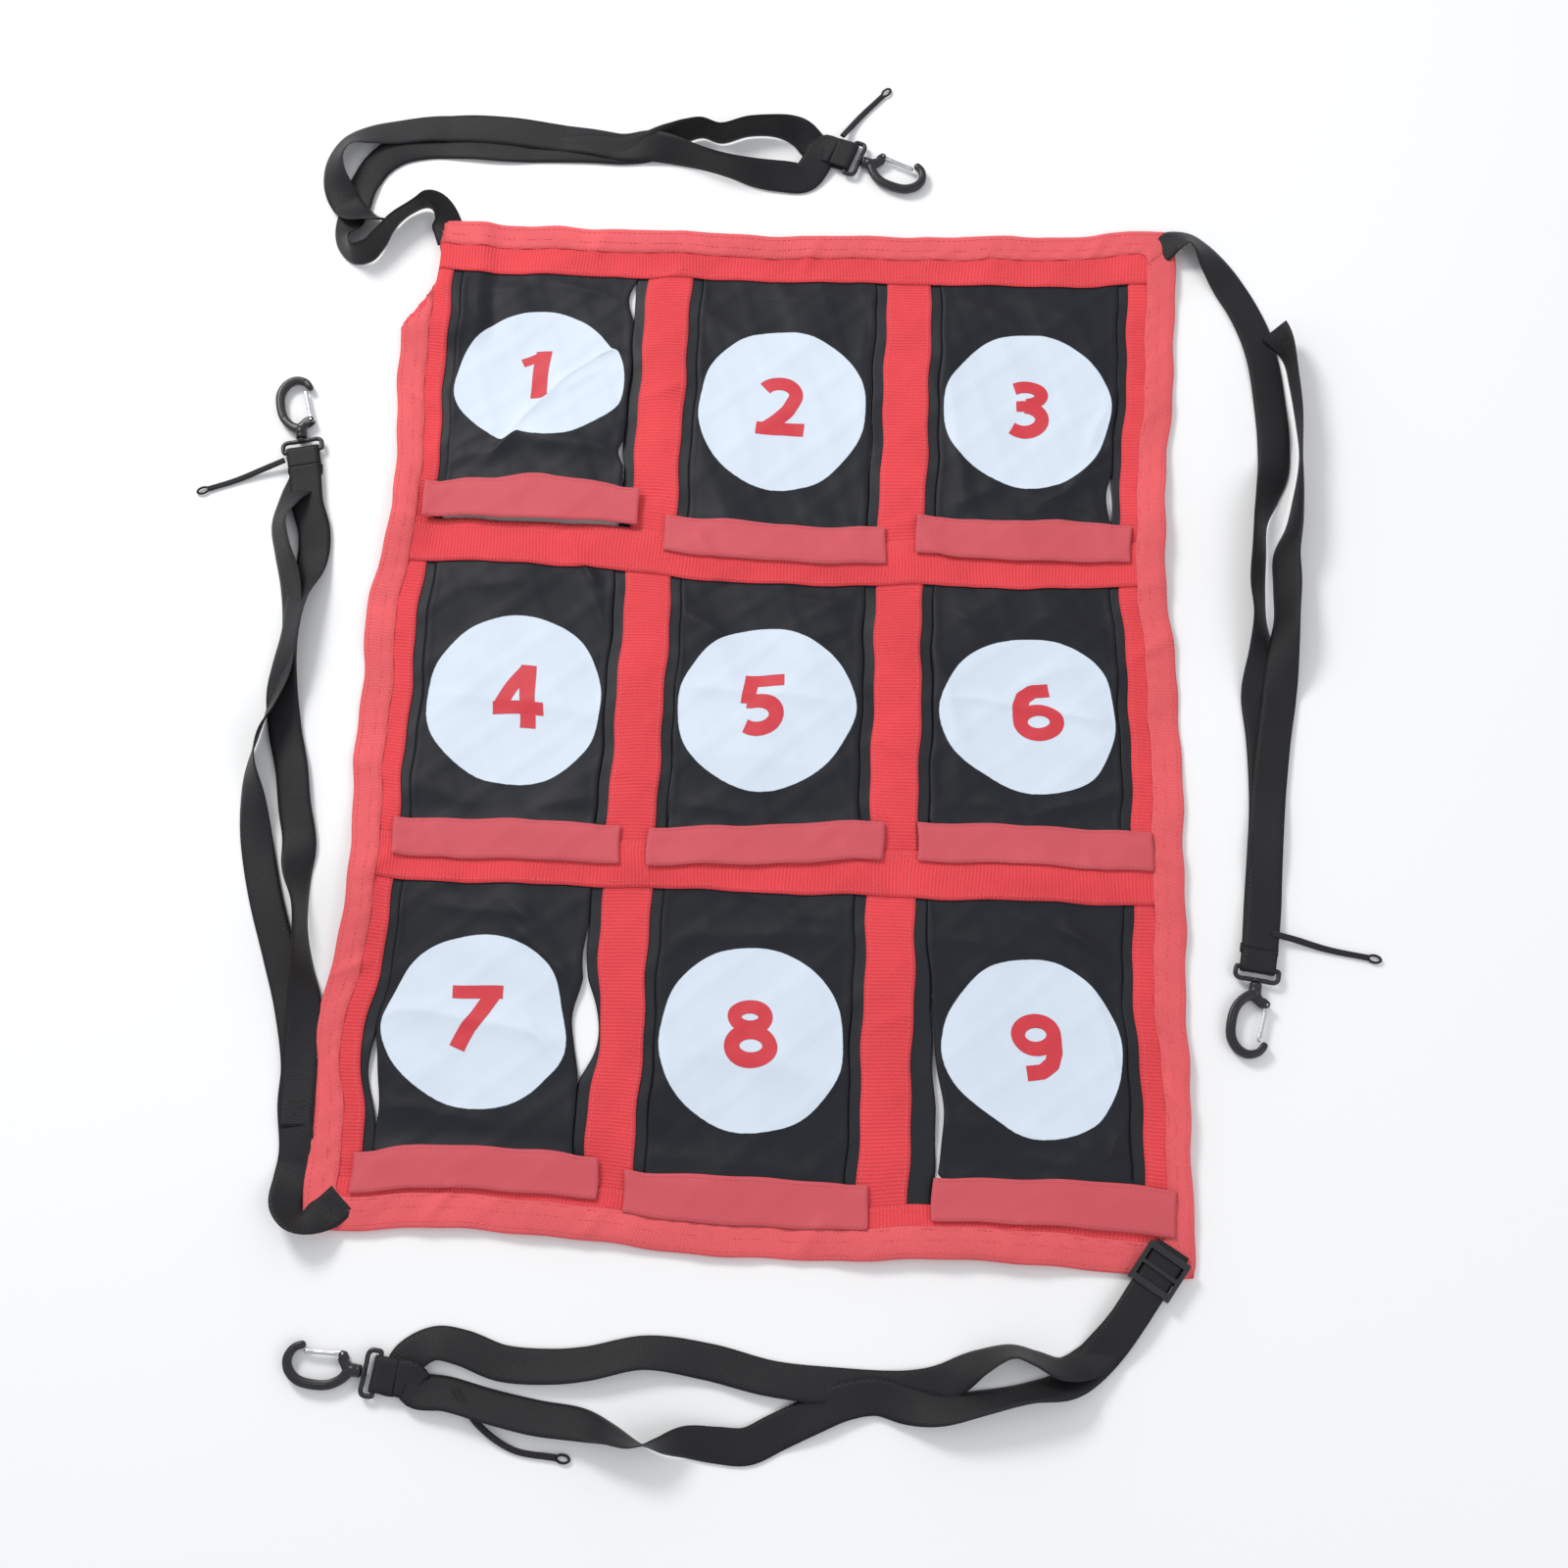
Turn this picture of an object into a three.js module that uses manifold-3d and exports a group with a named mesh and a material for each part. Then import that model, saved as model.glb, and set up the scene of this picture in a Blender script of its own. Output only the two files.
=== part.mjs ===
// Nine-panel numbered target sheet with four adjustable webbing straps. Millimetres, +Z up.
// The sheet lies flat, the row of panels 1-2-3 towards +Y; the origin is under the middle of the sheet.
import * as THREE from "three";
import { mergeVertices } from "three/addons/utils/BufferGeometryUtils.js";
import Module from "manifold-3d";

const wasm = await Module();
wasm.setup();

// Sheet layout.
const SHEET_W = 620;
const SHEET_H = 820;
const SIDE_BAND = 37;
const TOP_BAND = 48;
const BOTTOM_BAND = 37;
const BAR = 36;
const OPEN_W = 158;
const OPEN_H = 221;
const HEM_W = 20;
const COLUMN_X = [-194, 0, 194];
const OPEN_TOP_Y = [362, 105, -152];
const FACING_PROUD = 6.5;
const FLAP_W = 142;
const FLAP_GAP = 0.6;
const STRIP_W = 173;
const STRIP_H = 30;

// Heights of the cloth layers, bottom and top.
const FACING_Z = [0, 0.8];
const UPRIGHT_Z = [1.1, 1.9];
const CROSS_Z = [2.2, 3.0];
const HEM_Z = [3.3, 3.9];
const FLAP_Z = [2.2, 2.8];
const STRIP_Z = [3.3, 4.3];

// Webbing and fittings.
const WEB_W = 25;
const WEB_T = 1.4;
const KEEPER_W = 5;
const KEEPER_T = 2.5;
const EYE_Z = 4.8;
const EYE_BAR_R = 1.75;
const WRAP_R = EYE_BAR_R + 0.3 + WEB_T / 2;
const RUNS_GAP = 0.5;

const RED = 0xf04a50;
const HEM_RED = 0xf0646a;
const STRIP_RED = 0xd75a64;
const CLOTH_BLACK = 0x282a32;
const WEB_BLACK = 0x26262a;
const PLASTIC = 0x222226;
const STEEL = 0xb8bcc2;

const part = new THREE.Group();

function add(name, geometry, color) {
  const mesh = new THREE.Mesh(geometry, new THREE.MeshStandardMaterial({ color }));
  mesh.name = name;
  part.add(mesh);
  return mesh;
}

// A flat slab between two corners in plan and two heights.
function slab([x0, y0], [x1, y1], [z0, z1]) {
  const g = new THREE.BoxGeometry(x1 - x0, y1 - y0, z1 - z0);
  g.translate((x0 + x1) / 2, (y0 + y1) / 2, (z0 + z1) / 2);
  return g;
}

function toSolid(geometry) {
  const g = geometry.clone();
  g.deleteAttribute("normal");
  g.deleteAttribute("uv");
  const merged = mergeVertices(g, 1e-4);
  return new wasm.Manifold(
    new wasm.Mesh({
      numProp: 3,
      vertProperties: new Float32Array(merged.attributes.position.array),
      triVerts: new Uint32Array(merged.index.array),
    }),
  );
}

function toGeometry(solid) {
  const m = solid.getMesh();
  const g = new THREE.BufferGeometry();
  g.setAttribute("position", new THREE.BufferAttribute(new Float32Array(m.vertProperties), 3));
  g.setIndex(new THREE.BufferAttribute(new Uint32Array(m.triVerts), 1));
  g.computeVertexNormals();
  return g;
}

// Webbing swept along a route of [x, y, lowest z, roll in degrees, steps to the next point].
// The roll lifts the right-hand edge; a positive roll of 90 stands the webbing on its edge.
function ribbon(route, width, thick) {
  const at = route.map(([x, y, low]) => new THREE.Vector3(x, y, low + thick / 2));
  const curve = new THREE.CatmullRomCurve3(at, false, "centripetal");
  const spans = at.length - 1;
  const rings = [];
  let last = null;
  for (let i = 0; i < spans; i++) {
    const steps = route[i][4] ?? 3;
    for (let k = 0; k < steps; k++) rings.push(i + k / steps);
  }
  rings.push(spans);
  const position = [];
  for (const s of rings) {
    const p = curve.getPoint(s / spans);
    const t = curve.getTangent(s / spans);
    const i = Math.min(Math.floor(s), spans - 1);
    const roll = THREE.MathUtils.degToRad(THREE.MathUtils.lerp(route[i][3], route[i + 1][3], s - i));
    p.z += (width / 2) * Math.abs(Math.sin(roll));
    const side = new THREE.Vector3(t.y, -t.x, 0);
    if (side.length() < 1e-3 && last) side.copy(last);
    side.normalize();
    if (last && side.dot(last) < 0) side.negate();
    last = side.clone();
    const up = new THREE.Vector3().crossVectors(side, t).normalize();
    const across = side.clone().multiplyScalar(Math.cos(roll)).addScaledVector(up, Math.sin(roll));
    const through = new THREE.Vector3().crossVectors(across, t).normalize();
    for (const [a, b] of [[-1, -1], [1, -1], [1, 1], [-1, 1]]) {
      const v = p.clone().addScaledVector(across, (a * width) / 2).addScaledVector(through,
        (b * thick) / 2);
      position.push(v.x, v.y, v.z);
    }
  }
  const index = [];
  for (let r = 0; r + 1 < rings.length; r++) {
    for (let k = 0; k < 4; k++) {
      const a = 4 * r + k;
      const b = 4 * r + ((k + 1) % 4);
      if (k < 2) index.push(a, b, a + 4, b, b + 4, a + 4);
      else index.push(a, b, b + 4, a, b + 4, a + 4);
    }
  }
  const end = 4 * (rings.length - 1);
  index.push(0, 2, 1, 0, 3, 2, end, end + 1, end + 2, end, end + 2, end + 3);
  const g = new THREE.BufferGeometry();
  g.setAttribute("position", new THREE.Float32BufferAttribute(position, 3));
  g.setIndex(index);
  g.computeVertexNormals();
  return outward(g);
}

// Turns a closed shape's faces outwards.
function outward(g) {
  const p = g.attributes.position;
  const idx = g.index.array;
  let volume = 0;
  const [a, b, c] = [new THREE.Vector3(), new THREE.Vector3(), new THREE.Vector3()];
  for (let i = 0; i < idx.length; i += 3) {
    a.fromBufferAttribute(p, idx[i]);
    b.fromBufferAttribute(p, idx[i + 1]);
    c.fromBufferAttribute(p, idx[i + 2]);
    volume += a.dot(b.cross(c));
  }
  if (volume < 0) for (let i = 0; i < idx.length; i += 3) [idx[i + 1], idx[i + 2]] = [idx[i + 2],
    idx[i + 1]];
  g.computeVertexNormals();
  return g;
}

// Cloth frame.
function buildFrame() {
  const [x, y] = [SHEET_W / 2, SHEET_H / 2];
  const inner = OPEN_W / 2;
  add("frame_band_left", slab([-x, -y], [-x + SIDE_BAND, y], UPRIGHT_Z), RED);
  add("frame_band_right", slab([x - SIDE_BAND, -y], [x, y], UPRIGHT_Z), RED);
  add("frame_band_top", slab([-x, y - TOP_BAND], [x, y], CROSS_Z), RED);
  add("frame_band_bottom", slab([-x, -y], [x, -y + BOTTOM_BAND], CROSS_Z), RED);
  add("grid_bar_left", slab([-inner - BAR, -y], [-inner, y], UPRIGHT_Z), RED);
  add("grid_bar_right", slab([inner, -y], [inner + BAR, y], UPRIGHT_Z), RED);
  ["upper", "lower"].forEach((word, i) => {
    const top = OPEN_TOP_Y[i] - OPEN_H;
    add(`grid_bar_${word}`, slab([-x, top - BAR], [x, top], CROSS_Z), RED);
  });
  const outline = new THREE.Shape().moveTo(-x, -y).lineTo(x, -y).lineTo(x, y).lineTo(-x, y).closePath();
  const [hx, hy] = [x - HEM_W, y - HEM_W];
  outline.holes.push(new THREE.Path().moveTo(-hx, -hy).lineTo(-hx, hy).lineTo(hx, hy).lineTo(hx,
    -hy).closePath());
  const hem = new THREE.ExtrudeGeometry(outline, { depth: HEM_Z[1] - HEM_Z[0], bevelEnabled: false });
  hem.translate(0, 0, HEM_Z[0]);
  add("frame_hem", hem, HEM_RED);
}

// Black facings behind the uprights; each shows a narrow margin beside the slits of its flaps.
function buildFacings() {
  const x = SHEET_W / 2;
  const y = SHEET_H / 2 - 4;
  const inner = OPEN_W / 2;
  const spans = {
    left: [-x + 4, -x + SIDE_BAND + FACING_PROUD],
    middle_left: [-inner - BAR - FACING_PROUD, -inner + FACING_PROUD],
    middle_right: [inner - FACING_PROUD, inner + BAR + FACING_PROUD],
    right: [x - SIDE_BAND - FACING_PROUD, x - 4],
  };
  for (const [word, [x0, x1]] of Object.entries(spans))
    add(`facing_${word}`, slab([x0, -y], [x1, y], FACING_Z), CLOTH_BLACK);
}

// Hinged flaps, numbered in rows from the +Y side, each with its hook-and-loop strip.
function buildFlaps() {
  for (let n = 0; n < 9; n++) {
    const x = COLUMN_X[n % 3];
    const top = OPEN_TOP_Y[Math.floor(n / 3)];
    const bottom = top - OPEN_H;
    const cloth = slab([x - FLAP_W / 2, bottom + FLAP_GAP], [x + FLAP_W / 2, top - FLAP_GAP], FLAP_Z);
    add(`flap_${n + 1}_cloth`, cloth, CLOTH_BLACK);
    const low = [x - STRIP_W / 2, bottom - STRIP_H / 2];
    add(`flap_${n + 1}_strip`, slab(low, [x + STRIP_W / 2, bottom + STRIP_H / 2], STRIP_Z), STRIP_RED);
  }
}

// Snap hook, in a frame with u along the swivel axis from the eye's bar and v across, towards the gate.
const SOCKET_U = 10.8;
const COLLAR_END_U = 20;
const HOOK_T = 6;
const STOCK = 5.4;
const PIVOT = [25.5, 9.2];
const GATE_LONG = 26.5;
const GATE_ANGLE = 5;

// A lathed solid about the u axis from [u, radius] pairs.
function turned(profile, segments) {
  const g = new THREE.LatheGeometry(profile.map(([u, r]) => new THREE.Vector2(r, u)), segments);
  g.rotateZ(-Math.PI / 2);
  return toSolid(g);
}

function rod(radius, depth, u, v) {
  const g = new THREE.CylinderGeometry(radius, radius, depth, 16);
  g.rotateX(Math.PI / 2);
  g.translate(u, v, 0);
  return toSolid(g);
}

function block(u0, u1, v0, v1, w) {
  const g = new THREE.BoxGeometry(u1 - u0, v1 - v0, w);
  g.translate((u0 + u1) / 2, (v0 + v1) / 2, 0);
  return toSolid(g);
}

// The closed outline of a bar of even width laid along a curve in the u-v plane.
function stockOutline(points, width) {
  const curve = new THREE.CatmullRomCurve3(points.map(([u, v]) => new THREE.Vector3(u, v, 0)));
  const count = 26;
  const [left, right] = [[], []];
  for (let i = 0; i <= count; i++) {
    const p = curve.getPoint(i / count);
    const t = curve.getTangent(i / count);
    left.push(new THREE.Vector2(p.x - (t.y * width) / 2, p.y + (t.x * width) / 2));
    right.push(new THREE.Vector2(p.x + (t.y * width) / 2, p.y - (t.x * width) / 2));
  }
  return new THREE.Shape([...left, ...right.reverse()]);
}

function hookSolid() {
  const spine = [[19, -1], [23, -7], [31, -12.2], [42, -13.9], [53, -12.6], [60.5, -7], [63, 0.5],
    [60, 7.8], [54.3, 11.2]];
  const body = new THREE.ExtrudeGeometry(stockOutline(spine, STOCK),
    { depth: HOOK_T, bevelEnabled: false });
  body.translate(0, 0, -HOOK_T / 2);
  let solid = toSolid(body);
  const base = new THREE.Shape();
  base.moveTo(18, -4.5).lineTo(24, -8).lineTo(27.5, -3).lineTo(27.5, 4.5).lineTo(28, 11.8).lineTo(22.5,
    11.8);
  base.lineTo(18, 4.5).closePath();
  const heel = new THREE.ExtrudeGeometry(base, { depth: HOOK_T, bevelEnabled: false });
  heel.translate(0, 0, -HOOK_T / 2);
  solid = solid.add(toSolid(heel));
  solid = solid.add(turned([[SOCKET_U, 0], [SOCKET_U, 4.1], [12, 4.5], [18, 4.5], [COLLAR_END_U, 3.4],
    [COLLAR_END_U, 0]], 20));
  solid = solid.subtract(turned([[SOCKET_U - 1, 0], [SOCKET_U - 1, 2.3], [14, 2.3], [14, 3.3], [18.6, 3.3],
    [18.6, 0]], 16));
  solid = solid.subtract(block(22, 30, 6.2, 13, 3.8));
  return solid.subtract(rod(1.05, HOOK_T + 2, ...PIVOT));
}

// The gate closes against the inside of the hook's nose and turns inwards about its pin.
function gateSolid() {
  const tilt = THREE.MathUtils.degToRad(GATE_ANGLE);
  const g = new THREE.BoxGeometry(GATE_LONG, 2.6, 3.2);
  g.translate(GATE_LONG / 2, 0, 0);
  g.rotateZ(-tilt);
  g.translate(PIVOT[0], PIVOT[1], 0);
  const knuckle = rod(2.1, 3.2, ...PIVOT);
  const pin = rod(0.75, HOOK_T - 0.4, ...PIVOT);
  return toSolid(g).add(knuckle).add(pin);
}

// The flat eye that the webbing passes through, with its headed stem turning in the hook's collar.
function eyeSolid() {
  const bar = new THREE.CylinderGeometry(EYE_BAR_R, EYE_BAR_R, 33, 16);
  const frame = block(0, 10, -16.5, 16.5, 3.5).subtract(block(-1, 6.6, -13.2, 13.2, 6)).add(toSolid(bar));
  return frame.add(turned([[9, 0], [9, 2], [14.4, 2], [14.4, 2.9], [17.8, 2.9], [17.8, 0]], 16));
}

// Places a solid of the hook's frame at the eye of one strap.
function place(solid, eye) {
  const g = toGeometry(solid);
  g.scale(1, eye.side, 1);
  if (eye.side < 0) {
    const idx = g.index.array;
    for (let i = 0; i < idx.length; i += 3) [idx[i + 1], idx[i + 2]] = [idx[i + 2], idx[i + 1]];
  }
  g.rotateZ(THREE.MathUtils.degToRad(eye.heading));
  g.translate(eye.x, eye.y, EYE_Z);
  g.computeVertexNormals();
  return g;
}

// The end of the outgoing run: under the eye's bar, round it and back over the top.
function wrapAround(eye) {
  const [c, s] = [Math.cos, Math.sin].map((f) => f(THREE.MathUtils.degToRad(eye.heading)));
  const low = -WEB_T / 2;
  const profile = [
    [-13, EYE_Z - WRAP_R - 0.6, 2], [-4, EYE_Z - WRAP_R, 2], [0, EYE_Z - WRAP_R, 3],
    [WRAP_R * 0.707, EYE_Z - WRAP_R * 0.707, 3], [WRAP_R, EYE_Z, 3],
    [WRAP_R * 0.707, EYE_Z + WRAP_R * 0.707, 3], [0, EYE_Z + WRAP_R, 2], [-7, EYE_Z + WRAP_R, 2],
    [-14, EYE_Z + WRAP_R - 0.2, 1],
  ];
  return profile.map(([a, z, steps]) => [eye.x + a * c, eye.y + a * s, z + low, 0, steps]);
}

// The start of the return run, which goes on from the end of the wrap.
function leaveEye(eye) {
  const [c, s] = [Math.cos, Math.sin].map((f) => f(THREE.MathUtils.degToRad(eye.heading)));
  const start = -14 - RUNS_GAP;
  return [[start, EYE_Z + WRAP_R - 0.2], [-24, EYE_Z + WRAP_R - 1.3]].map(([a, z]) => [
    eye.x + a * c, eye.y + a * s, z - WEB_T / 2, 0, 2,
  ]);
}

// Layers: LOW lies on the floor, HIGH on top of another run, ON_SHEET on the hem, OVER over a run on the
// hem.
const LOW = 0.4;
const HIGH = 2.5;
const RAISED = 5;
const ON_SHEET = 4.3;
const SLIDER_LOW = 5.7;
const SLIDER_HIGH = 7.4;

const STRAPS = {
  top_left: {
    eye: { x: 45, y: 478, heading: -19, side: 1 },
    out: [
      [-277, 389, ON_SHEET, 0], [-286, 405, ON_SHEET, 0], [-296, 422, ON_SHEET, 50], [-314, 428, 2, 85],
      [-330, 412, LOW, 90],
      [-338, 386, LOW, 90], [-345, 366, LOW, 90], [-358, 362, LOW, 90], [-364, 378, LOW, 80],
      [-363, 398, LOW, 25],
      [-363, 415, LOW, 0], [-363, 436, LOW, 0], [-361, 458, LOW, 0], [-348, 482, LOW, 0],
      [-322, 494, LOW, 0], [-290, 494, LOW, 0],
      [-241, 487, LOW, 0], [-192, 486, LOW, 0], [-150, 484, LOW, 0], [-112, 485, LOW, 0],
      [-84, 491, LOW, 0],
      [-58, 499, LOW, -50], [-32, 502, LOW, -50], [-8, 500, LOW, -20], [14, 491, LOW, 0],
    ],
    back: [
      [5, 481, LOW + 5, 0], [-13, 468, LOW + 2, 0], [-34, 461, HIGH, 0], [-54, 463, HIGH, 0],
      [-74, 467, HIGH, 0], [-98, 477, HIGH + 1.5, 0], [-130, 485, HIGH, 0],
      [-192, 486, HIGH, 0], [-241, 488, HIGH, 0], [-290, 494, HIGH, 0], [-330, 499, HIGH, 0],
      [-360, 496, HIGH, 0],
      [-384, 480, HIGH, 0], [-392, 456, HIGH, 0], [-384, 432, HIGH, 0],
    ],
    keeper: [[39, 501, LOW, 0], [45, 511, LOW, 0], [54, 524, LOW, 0], [70, 541, LOW, 0]],
  },
  top_right: {
    eye: { x: 361, y: -196, heading: -98, side: 1 },
    out: [
      [287, 386, ON_SHEET, 0], [296, 401, ON_SHEET, 0], [309, 417, ON_SHEET, 50], [326, 416, 2, 75],
      [341, 401, LOW, 55],
      [354, 378, LOW, 15], [367, 348, LOW, 0], [377, 318, LOW, 0], [382, 288, LOW, 0], [384, 255, LOW, 0],
      [384, 220, LOW, 0],
      [380, 188, LOW, 15], [374, 162, LOW, 45], [371, 136, LOW, 60], [370, 105, LOW, 60],
      [370, 78, LOW, 40],
      [373, 49, LOW, 0], [375, 20, LOW, 0], [374, -34, LOW, 0], [370, -89, LOW, 0], [367, -129, LOW, 0],
      [364, -165, LOW, 0],
    ],
    back: [
      [366, -150, HIGH + 2, 0], [368, -110, HIGH, 0], [372, -60, HIGH, 0], [375, -20, HIGH, 0],
      [377, 20, HIGH, 0], [384, 49, RAISED + 1, 0],
      [390, 80, RAISED, 30], [391, 105, HIGH, 55], [393, 136, HIGH, 55], [398, 168, RAISED, 30],
      [402, 205, RAISED, 0],
      [403, 240, HIGH, 0], [401, 272, HIGH, 0], [394, 300, HIGH, 0], [385, 325, HIGH, 0],
    ],
    keeper: [[378, -169, LOW, 0], [395, -173, LOW, 0], [415, -178, LOW, 0], [441, -184, LOW, 0]],
  },
  bottom_left: {
    eye: { x: -378, y: 196, heading: 102, side: -1 },
    out: [
      [-280, -384, ON_SHEET, 0], [-291, -397, ON_SHEET, 0], [-303, -413, ON_SHEET, -50],
      [-319, -421, 2, -85], [-333, -412, LOW, -88],
      [-338, -392, LOW, -60], [-335, -364, LOW, -20], [-331, -340, LOW, 0], [-329, -318, LOW, 0],
      [-331, -291, LOW, 0], [-337, -255, LOW, 0],
      [-346, -218, LOW, 0], [-356, -180, LOW, 0], [-368, -135, LOW, 0], [-378, -95, LOW, 0],
      [-382, -60, LOW, 0],
      [-377, -28, LOW, 0], [-372, 0, LOW, 0], [-369, 30, LOW, 0], [-371, 59, LOW, 0], [-377, 89, LOW, 0],
      [-385, 116, LOW, 0], [-385, 142, LOW, 0], [-374, 168, LOW, 0],
    ],
    back: [
      [-368, 148, HIGH + 2, 0], [-362, 118, HIGH, 0], [-362, 86, HIGH, 0], [-366, 56, HIGH, 0],
      [-369, 30, HIGH, 0], [-371, 0, HIGH, 0],
      [-369, -28, HIGH, 0], [-360, -62, HIGH, 0], [-351, -90, HIGH, 0], [-345, -125, HIGH, 0],
      [-341, -159, HIGH, 0],
      [-336, -195, HIGH, 0], [-333, -228, HIGH, 0], [-332, -262, HIGH, 0], [-330, -292, HIGH, 0],
    ],
    keeper: [[-402, 178, LOW, 0], [-416, 174, LOW, 0], [-432, 169, LOW, 0], [-450, 162, LOW, 0]],
  },
  bottom_right: {
    eye: { x: -245, y: -503, heading: 173, side: -1 },
    out: [
      [298, -396, SLIDER_LOW, 0], [288, -412, SLIDER_LOW, 0], [277, -429, SLIDER_LOW, 0],
      [266, -446, SLIDER_LOW, 0],
      [254, -463, 3, 0], [238, -478, LOW, 0], [216, -484, LOW, 0], [194, -481, LOW, 0], [174, -481, LOW, 0],
      [149, -487, LOW, 0],
      [120, -494, LOW, 0], [64, -496, LOW, 0], [26, -492, LOW, 0], [-24, -486, LOW, 0], [-64, -484, LOW, 0],
      [-95, -488, LOW, 0],
      [-125, -491, LOW, 0], [-154, -490, LOW, 0], [-180, -485, LOW, 0], [-198, -489, LOW, 0],
      [-216, -501, LOW, 0],
    ],
    back: [
      [-212, -511, HIGH + 2, 0], [-190, -517, HIGH, 0], [-160, -522, HIGH, 0], [-133, -526, HIGH, 0],
      [-104, -529, HIGH, 0],
      [-76, -536, HIGH, 0], [-48, -539, HIGH, 0], [-20, -539, HIGH, 0], [8, -537, HIGH, 0],
      [32, -528, HIGH, 0], [58, -516, HIGH, 0],
      [84, -507, HIGH, 0], [112, -508, HIGH, 0], [138, -511, HIGH, 0], [166, -505, HIGH, 0],
      [194, -498, HIGH, 0],
      [222, -490, HIGH, 0], [240, -478, HIGH, 0], [254, -463, 4.7, 0], [266, -446, SLIDER_HIGH, 0],
      [277, -429, SLIDER_HIGH, 0],
      [288, -412, SLIDER_HIGH, 0], [296, -399, SLIDER_HIGH, 0],
    ],
    keeper: [[-170, -541, LOW, 0], [-158, -546, LOW, 0], [-140, -551, LOW, 0], [-108, -556, LOW, 0]],
  },
};

function buildStraps() {
  for (const [corner, strap] of Object.entries(STRAPS)) {
    const { eye } = strap;
    add(`strap_${corner}_outgoing_run`, ribbon([...strap.out, ...wrapAround(eye)], WEB_W, WEB_T),
      WEB_BLACK);
    add(`strap_${corner}_return_run`, ribbon([...leaveEye(eye), ...strap.back], WEB_W, WEB_T), WEB_BLACK);
    add(`swivel_eye_${corner}`, place(eyeSolid(), eye), PLASTIC);
    add(`snap_hook_${corner}`, place(hookSolid(), eye), PLASTIC);
    add(`hook_gate_${corner}`, place(gateSolid(), eye), STEEL);
    add(`elastic_keeper_${corner}`, ribbon(strap.keeper, KEEPER_W, KEEPER_T), WEB_BLACK);
  }
}

// Tri-glide slider: two side rails, a bar under both runs of webbing and two bars over them.
const SLIDER_AT = [288, -412];
const SLIDER_HEADING = -122.9;
const SLIDER_BASE = 4.3;

function buildSlider() {
  const rail = 3.2;
  const half = WEB_W / 2 + 0.5;
  const tall = 6.3;
  const piece = (a0, a1, b0, b1, z0, z1) => toSolid(slab([a0, b0], [a1, b1], [z0, z1]));
  const solid = [
    piece(-15, 15, half, half + rail, 0, tall),
    piece(-15, 15, -half - rail, -half, 0, tall),
    piece(-2.5, 2.5, -half - 1, half + 1, 0, 1.1),
    piece(-15, -10, -half - 1, half + 1, 4.8, tall),
    piece(10, 15, -half - 1, half + 1, 4.8, tall),
  ].reduce((a, b) => a.add(b));
  const g = toGeometry(solid);
  g.rotateZ(THREE.MathUtils.degToRad(SLIDER_HEADING));
  g.translate(SLIDER_AT[0], SLIDER_AT[1], SLIDER_BASE);
  add("strap_slider_bottom_right", g, PLASTIC);
}

buildFrame();
buildFacings();
buildFlaps();
buildStraps();
buildSlider();

export default part;
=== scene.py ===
"""Looks of the nine-panel target sheet: cloth, webbing straps, snap hooks, light and camera.

Lengths are in millimetres."""
import math

import bpy
import numpy as np
from mathutils import Matrix, Vector


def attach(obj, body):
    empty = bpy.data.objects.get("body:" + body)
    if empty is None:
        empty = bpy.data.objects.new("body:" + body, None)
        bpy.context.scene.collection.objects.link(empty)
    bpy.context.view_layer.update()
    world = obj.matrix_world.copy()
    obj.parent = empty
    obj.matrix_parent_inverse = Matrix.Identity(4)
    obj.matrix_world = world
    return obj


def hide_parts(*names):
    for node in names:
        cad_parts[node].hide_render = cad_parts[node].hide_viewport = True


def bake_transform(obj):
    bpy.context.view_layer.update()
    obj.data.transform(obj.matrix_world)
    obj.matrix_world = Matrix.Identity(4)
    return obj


MM = 0.001
ROOT = "sheet_and_straps"
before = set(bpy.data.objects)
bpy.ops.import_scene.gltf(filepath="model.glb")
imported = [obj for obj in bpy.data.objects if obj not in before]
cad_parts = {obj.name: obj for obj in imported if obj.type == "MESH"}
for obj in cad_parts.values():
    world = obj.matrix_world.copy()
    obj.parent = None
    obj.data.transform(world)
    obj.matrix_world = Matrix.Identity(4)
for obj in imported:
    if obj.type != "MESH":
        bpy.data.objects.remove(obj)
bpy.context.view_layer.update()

# ---------------------------------------------------------------- camera
AZIMUTH, ELEVATION, ROLL = (math.radians(a) for a in (-7.25, 71.5, -4.95))
TARGET = Vector((0.0145, -0.0666, 0.0))
DISTANCE, LENS = 1.57, 48.3


def make_camera():
    a, e, r = AZIMUTH, ELEVATION, ROLL
    ahead = Vector((math.sin(a) * math.cos(e), math.cos(a) * math.cos(e), -math.sin(e)))
    right = ahead.cross(Vector((0, 0, 1))).normalized()
    up = right.cross(ahead)
    x = right * math.cos(r) + up * math.sin(r)
    y = up * math.cos(r) - right * math.sin(r)
    data = bpy.data.cameras.new("camera")
    data.lens, data.sensor_width = LENS, 36
    data.clip_end = 50
    cam = bpy.data.objects.new("camera", data)
    cam.matrix_world = Matrix((
        (x.x, y.x, -ahead.x, 0), (x.y, y.y, -ahead.y, 0), (x.z, y.z, -ahead.z, 0), (0, 0, 0, 1),
    ))
    cam.location = TARGET - ahead * DISTANCE
    bpy.context.scene.collection.objects.link(cam)
    bpy.context.scene.camera = cam


make_camera()


# ---------------------------------------------------------------- meshes
def smoothstep(t):
    t = np.clip(t, 0, 1)
    return t * t * (3 - 2 * t)


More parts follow.
